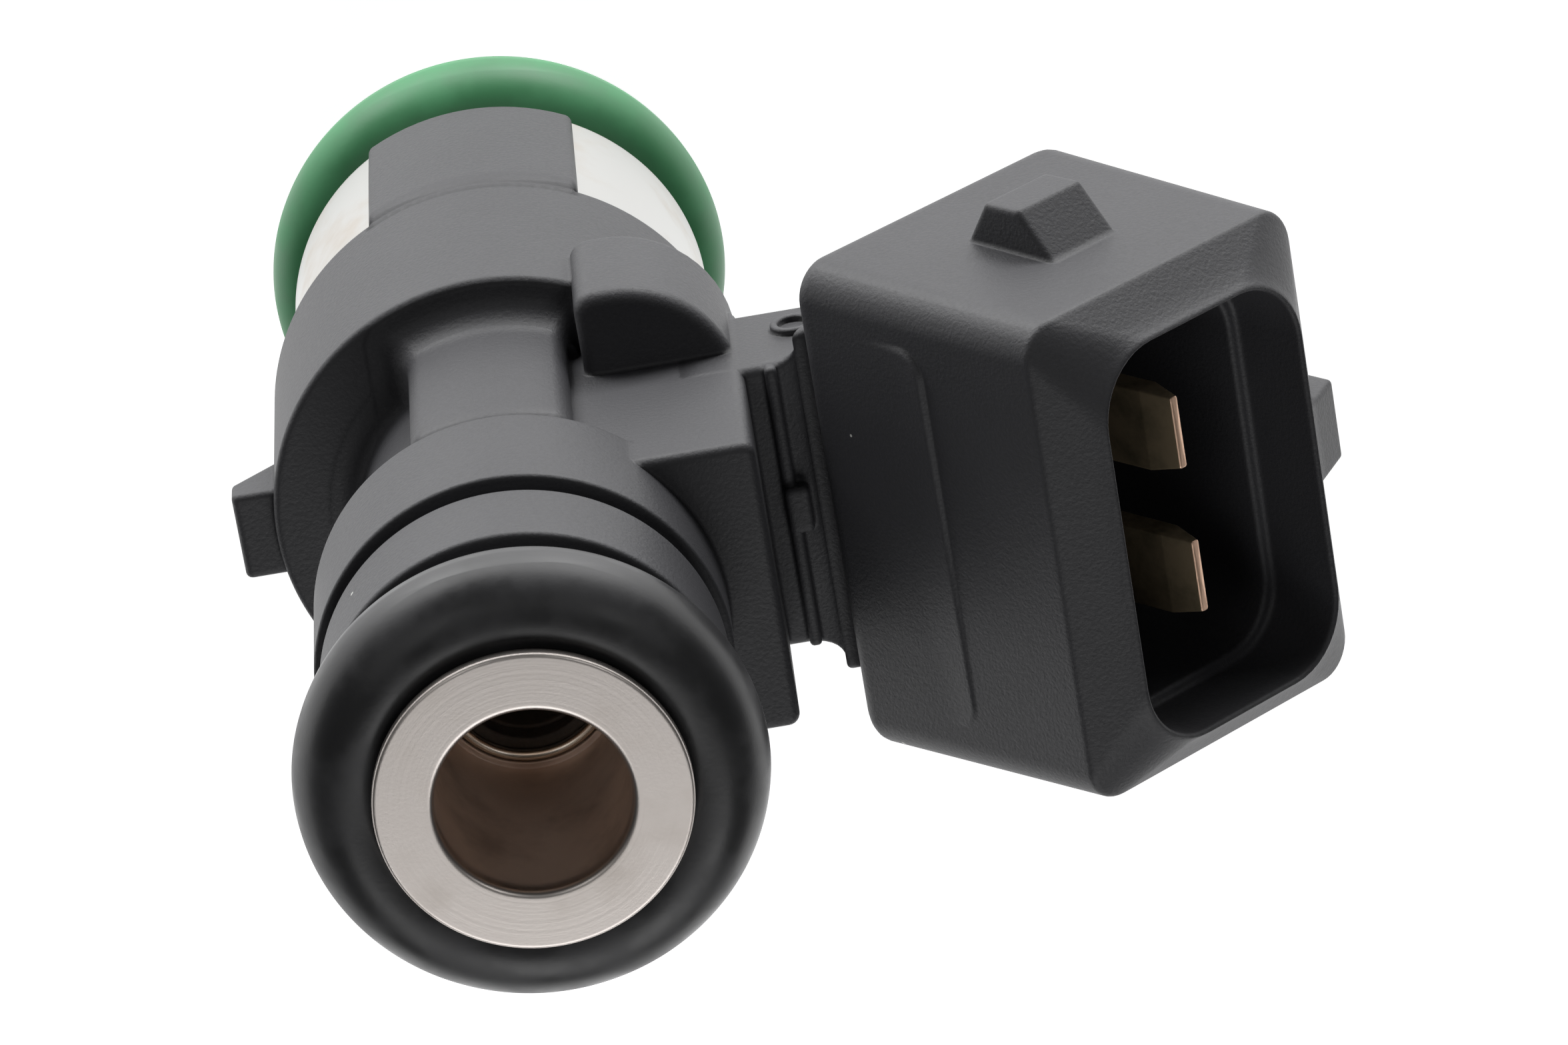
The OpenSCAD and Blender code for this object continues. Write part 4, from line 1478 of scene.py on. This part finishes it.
@dataclass
class NozzleEnd:
    """The steel valve body and the plastic cap that keeps the nozzle's O-ring on."""

    tip_r: float = 3.6
    seat_r: float = 4.45
    cap_seat_r: float = 4.0
    cap_r: float = 6.4
    shoulder_r: float = 6.0
    shoulder_z: float = 7.4
    flange_top: float = 8.6
    neck_top: float = 9.6
    tube_r: float = 3.76
    pocket: tuple[float, float] = (2.8, 4.4)
    room_r: float = 2.2
    chamber: tuple[float, float] = (2.8, 12.0)

    def build(self, finishes: FinishSet) -> list[bpy.types.Object]:
        """Turns both pieces.

        Args:
            finishes: the injector's finishes.

        Returns:
            The body and the cap.
        """
        cap_low, cap_top = node_span("o_ring_retainer")
        top = node_span("valve_body")[1]
        steel = rounded([
            (self.pocket[0], 0, 0.12), (self.tip_r, 0, 0.2), (self.tip_r, cap_low, 0.03),
            (self.cap_seat_r, cap_low, 0.03), (self.cap_seat_r, cap_top, 0.03), (self.seat_r, cap_top, 0.05),
            (self.seat_r, self.shoulder_z, 0.15), (self.shoulder_r, self.shoulder_z, 0.12),
            (self.shoulder_r, self.flange_top, 0.12), (self.seat_r, self.flange_top, 0.03),
            (self.seat_r, self.neck_top, 0.03), (self.tube_r, self.neck_top, 0.03), (self.tube_r, top, 0.1),
            (self.chamber[0], top, 0.05), (self.chamber[0], self.chamber[1], 0.05),
            (self.room_r, self.chamber[1], 0.05), (self.room_r, self.pocket[1], 0.05),
            (self.pocket[0], self.pocket[1], 0.05),
        ], 5)
        cap = rounded([
            (self.cap_seat_r + 0.01, cap_low, 0.1), (self.cap_r - 1.4, cap_low, 0.3),
            (self.cap_r, cap_low + 1.4, 0.3), (self.cap_r, cap_top, 0.16),
            (self.cap_seat_r + 0.01, cap_top, 0.03),
        ], 6)
        return [turned_piece("nozzle_body", steel, finishes, "valve_steel", "valve_body"),
                turned_piece("ring_cap", cap, finishes, "retainer_plastic", "o_ring_retainer")]


@dataclass
class BladeSizes:
    """Sizes of a terminal: its tail, its run through the web and its blade."""

    pitch: float = 5.0
    width: float = 2.8
    thickness: float = 0.8
    tail_width: float = 1.4
    tail_x: float = 5.3
    tail_z: float = 23.0
    run_z: float = 28.5
    tip_z: float = 0.0
    coin: float = 1.1
    centre_x: float = 5.925
    bend_r: float = 1.0


@dataclass
class Terminal:
    """One stamped terminal, bent from its tail into the run and from the run into the blade."""

    socket: SocketFrame
    side: int
    name: str
    sizes: BladeSizes = field(default_factory=BladeSizes)

    def path(self) -> tuple[np.ndarray, np.ndarray]:
        """The middle line as (x, z), with its bends rounded, and the half width along it.

        Returns:
            The points of the middle line, and the half width at each.
        """
        s = self.sizes
        tip = self.socket.at(s.centre_x, 0, s.tip_z)
        axis = np.array(self.socket.axis)
        reach = (tip[2] - s.run_z) / axis[2]
        bend = tip - axis * reach
        corners = np.array([[s.tail_x, s.tail_z], [s.tail_x, s.run_z], [bend[0], s.run_z], [tip[0], tip[2]]])
        line = [corners[:1]]
        for last, here, ahead in zip(corners[:-2], corners[1:-1], corners[2:]):
            line.append(rounded([(*last, 0.01), (*here, s.bend_r), (*ahead, 0.01)], 8)[9:18])
        direction = unit(corners[-1] - corners[-2])
        steps = np.array([2.4, s.coin + 0.08, s.coin, s.coin * 0.6, 0.03, 0.0])
        line.append(corners[-1] - steps[:, None] * direction)
        points = np.concatenate(line)
        half = np.where(points[:, 1] < s.run_z - 1.2, s.tail_width / 2, s.width / 2)
        return points, half

    def build(self, finishes: FinishSet) -> bpy.types.Object:
        """Carries the rounded section along the middle line, and coins the tip.

        A section's point is p + n u + y v: n is the line's normal in the XZ plane, and (u, v) runs round
        a box of the thickness by the width, which shrinks at the tip.

        Args:
            finishes: the injector's finishes.

        Returns:
            The new object.
        """
        s = self.sizes
        points, half = self.path()
        ahead = np.gradient(points, axis=0)
        tangent = unit(ahead)
        normal = np.stack([tangent[:, 1], -tangent[:, 0]], axis=1)
        shrink = np.zeros(len(points))
        shrink[-4:] = [0.01, 0.11, 0.25, 0.28]
        rings = []
        for p, n, h, less in zip(points, normal, half, shrink):
            ring = rounded(box_corners(-s.thickness / 2 + less, s.thickness / 2 - less,
                                       -h + less * 0.7, h - less * 0.7, 0.07), 4)
            rings.append(np.column_stack([p[0] + n[0] * ring[:, 0], self.side * s.pitch / 2 + ring[:, 1],
                                          p[1] + n[1] * ring[:, 0]]))
        return Skin().add(np.stack(rings)).build(self.name + "_blade", finishes, "terminal_bronze", self.name)


# ---- Pieces that stay as the CAD made them ----


def dress_frame(finishes: FinishSet) -> None:
    """Gives each CAD node that still shows the finish of its material slot.

    Args:
        finishes: the injector's finishes.
    """
    slots = {part["node"]: part["material_slot"] for part in frame["record"]["subparts"]}
    for node, piece in frame["nodes"].items():
        if piece.hide_render:
            continue
        for material_slot in piece.material_slots:
            material_slot.material = finishes[slots[node]]
        LOG.info("%s keeps its CAD shape, in %s", node, slots[node])


# ---- Studio ----


@dataclass
class Studio:
    """Camera, floor and soft light."""

    camera_at: tuple[float, float, float] = (0.01099, 0.09932, 0.27059)
    right: tuple[float, float, float] = (0.9862, -0.1558, 0.0555)
    up: tuple[float, float, float] = (0.1652, 0.9096, -0.3812)
    back: tuple[float, float, float] = (0.009, 0.3851, 0.9228)
    lens: float = 183.67
    floor_glow: float = 0.9
    floor_light: float = 1.3
    aim: tuple[float, float, float] = (0.006, 0.0, 0.035)

    def add_camera(self) -> None:
        """Stands the camera where it looks down on the inlet, turned so that +Y is up."""
        data = bpy.data.cameras.new("camera")
        data.sensor_width = 36.0
        data.lens = self.lens
        data.clip_start, data.clip_end = 0.01, 10.0
        camera = bpy.data.objects.new("camera", data)
        turn = Matrix([self.right, self.up, self.back]).transposed()
        camera.matrix_world = Matrix.Translation(self.camera_at) @ turn.to_4x4()
        bpy.context.scene.collection.objects.link(camera)
        bpy.context.scene.camera = camera

    def add_floor(self) -> None:
        """Lays a pale floor under the nozzle. It casts no shadow, so the two boxes below shine through."""
        half, low = 1.5, CAD_BOX[0][2] - 0.0002
        mesh = bpy.data.meshes.new("floor")
        corners = [(-half, -half, low), (half, -half, low), (half, half, low), (-half, half, low)]
        mesh.from_pydata(corners, [], [(0, 1, 2, 3)])
        material = bpy.data.materials.new("pale_floor")
        material.use_nodes = True
        w = Wiring(material.node_tree)
        shader = material.node_tree.nodes["Principled BSDF"]
        shader.inputs["Base Color"].default_value = (0.60, 0.60, 0.60, 1)
        shader.inputs["Roughness"].default_value = 0.9
        shader.inputs["Emission Color"].default_value = (1, 1, 1, 1)
        seen = w.node("ShaderNodeLightPath").outputs["Is Camera Ray"]
        w.join(w.between(seen, self.floor_light, self.floor_glow), shader.inputs["Emission Strength"])
        mesh.materials.append(material)
        floor = bpy.data.objects.new("floor", mesh)
        floor.visible_shadow = False
        bpy.context.scene.collection.objects.link(floor)

    def add_light(self, name: str, at: Vector, size: tuple[float, float], power: float,
                  target: Vector) -> None:
        """Adds one soft rectangular light aimed at a point.

        Args:
            name: the light's name.
            at: where it stands, in metres.
            size: its two sides, in metres.
            power: its power in watts.
            target: the point it faces.
        """
        data = bpy.data.lights.new(name, "AREA")
        data.shape = "RECTANGLE"
        data.size, data.size_y = size
        data.energy = power
        light = bpy.data.objects.new(name, data)
        light.visible_camera = False
        turn = (target - at).to_track_quat("-Z", "Y")
        light.matrix_world = Matrix.Translation(at) @ turn.to_matrix().to_4x4()
        bpy.context.scene.collection.objects.link(light)

    def add_lights(self) -> None:
        """Lights the object with two boxes below the floor, a front box and two weak upper boxes."""
        world = bpy.data.worlds.new("room")
        world.use_nodes = True
        world.node_tree.nodes["Background"].inputs["Color"].default_value = (1, 1, 1, 1)
        world.node_tree.nodes["Background"].inputs["Strength"].default_value = 0.02
        bpy.context.scene.world = world
        boxes = (
            ("far_left_box", (-0.12, 0.30, -0.10), (0.14, 0.14), 0.9),
            ("far_right_box", (0.13, 0.30, -0.10), (0.14, 0.14), 0.9),
            ("front_box", (0.0, -0.30, 0.33), (0.34, 0.26), 0.68),
            ("upper_left_box", (-0.15, 0.16, 0.40), (0.10, 0.14), 0.12),
            ("upper_right_box", (0.18, 0.16, 0.40), (0.10, 0.14), 0.12),
        )
        for name, at, size, power in boxes:
            self.add_light(name, Vector(at), size, power, Vector(self.aim))

    def build(self) -> None:
        """Adds the floor and the lights, and shows colours as they are."""
        self.add_floor()
        self.add_lights()
        bpy.context.scene.view_settings.view_transform = "Standard"


def main() -> None:
    """Builds the camera, the finishes and every piece."""
    logging.basicConfig(level=logging.INFO, format="%(name)s: %(message)s")
    studio = Studio()
    studio.add_camera()
    socket = SocketFrame()
    finishes = FinishSet(EffectKit(), socket)
    Overmould(socket).build(finishes)
    InletTube().build(finishes)
    FilterRim().build(finishes)
    ORing("inlet_o_ring", "black_rubber", 3.76).build(finishes)
    ORing("nozzle_o_ring", "green_rubber", 4.455).build(finishes)
    CoilCan().build(finishes)
    NozzleEnd().build(finishes)
    Terminal(socket, 1, "terminal_upper").build(finishes)
    Terminal(socket, -1, "terminal_lower").build(finishes)
    dress_frame(finishes)
    studio.build()


if __name__ == "__main__":
    main()
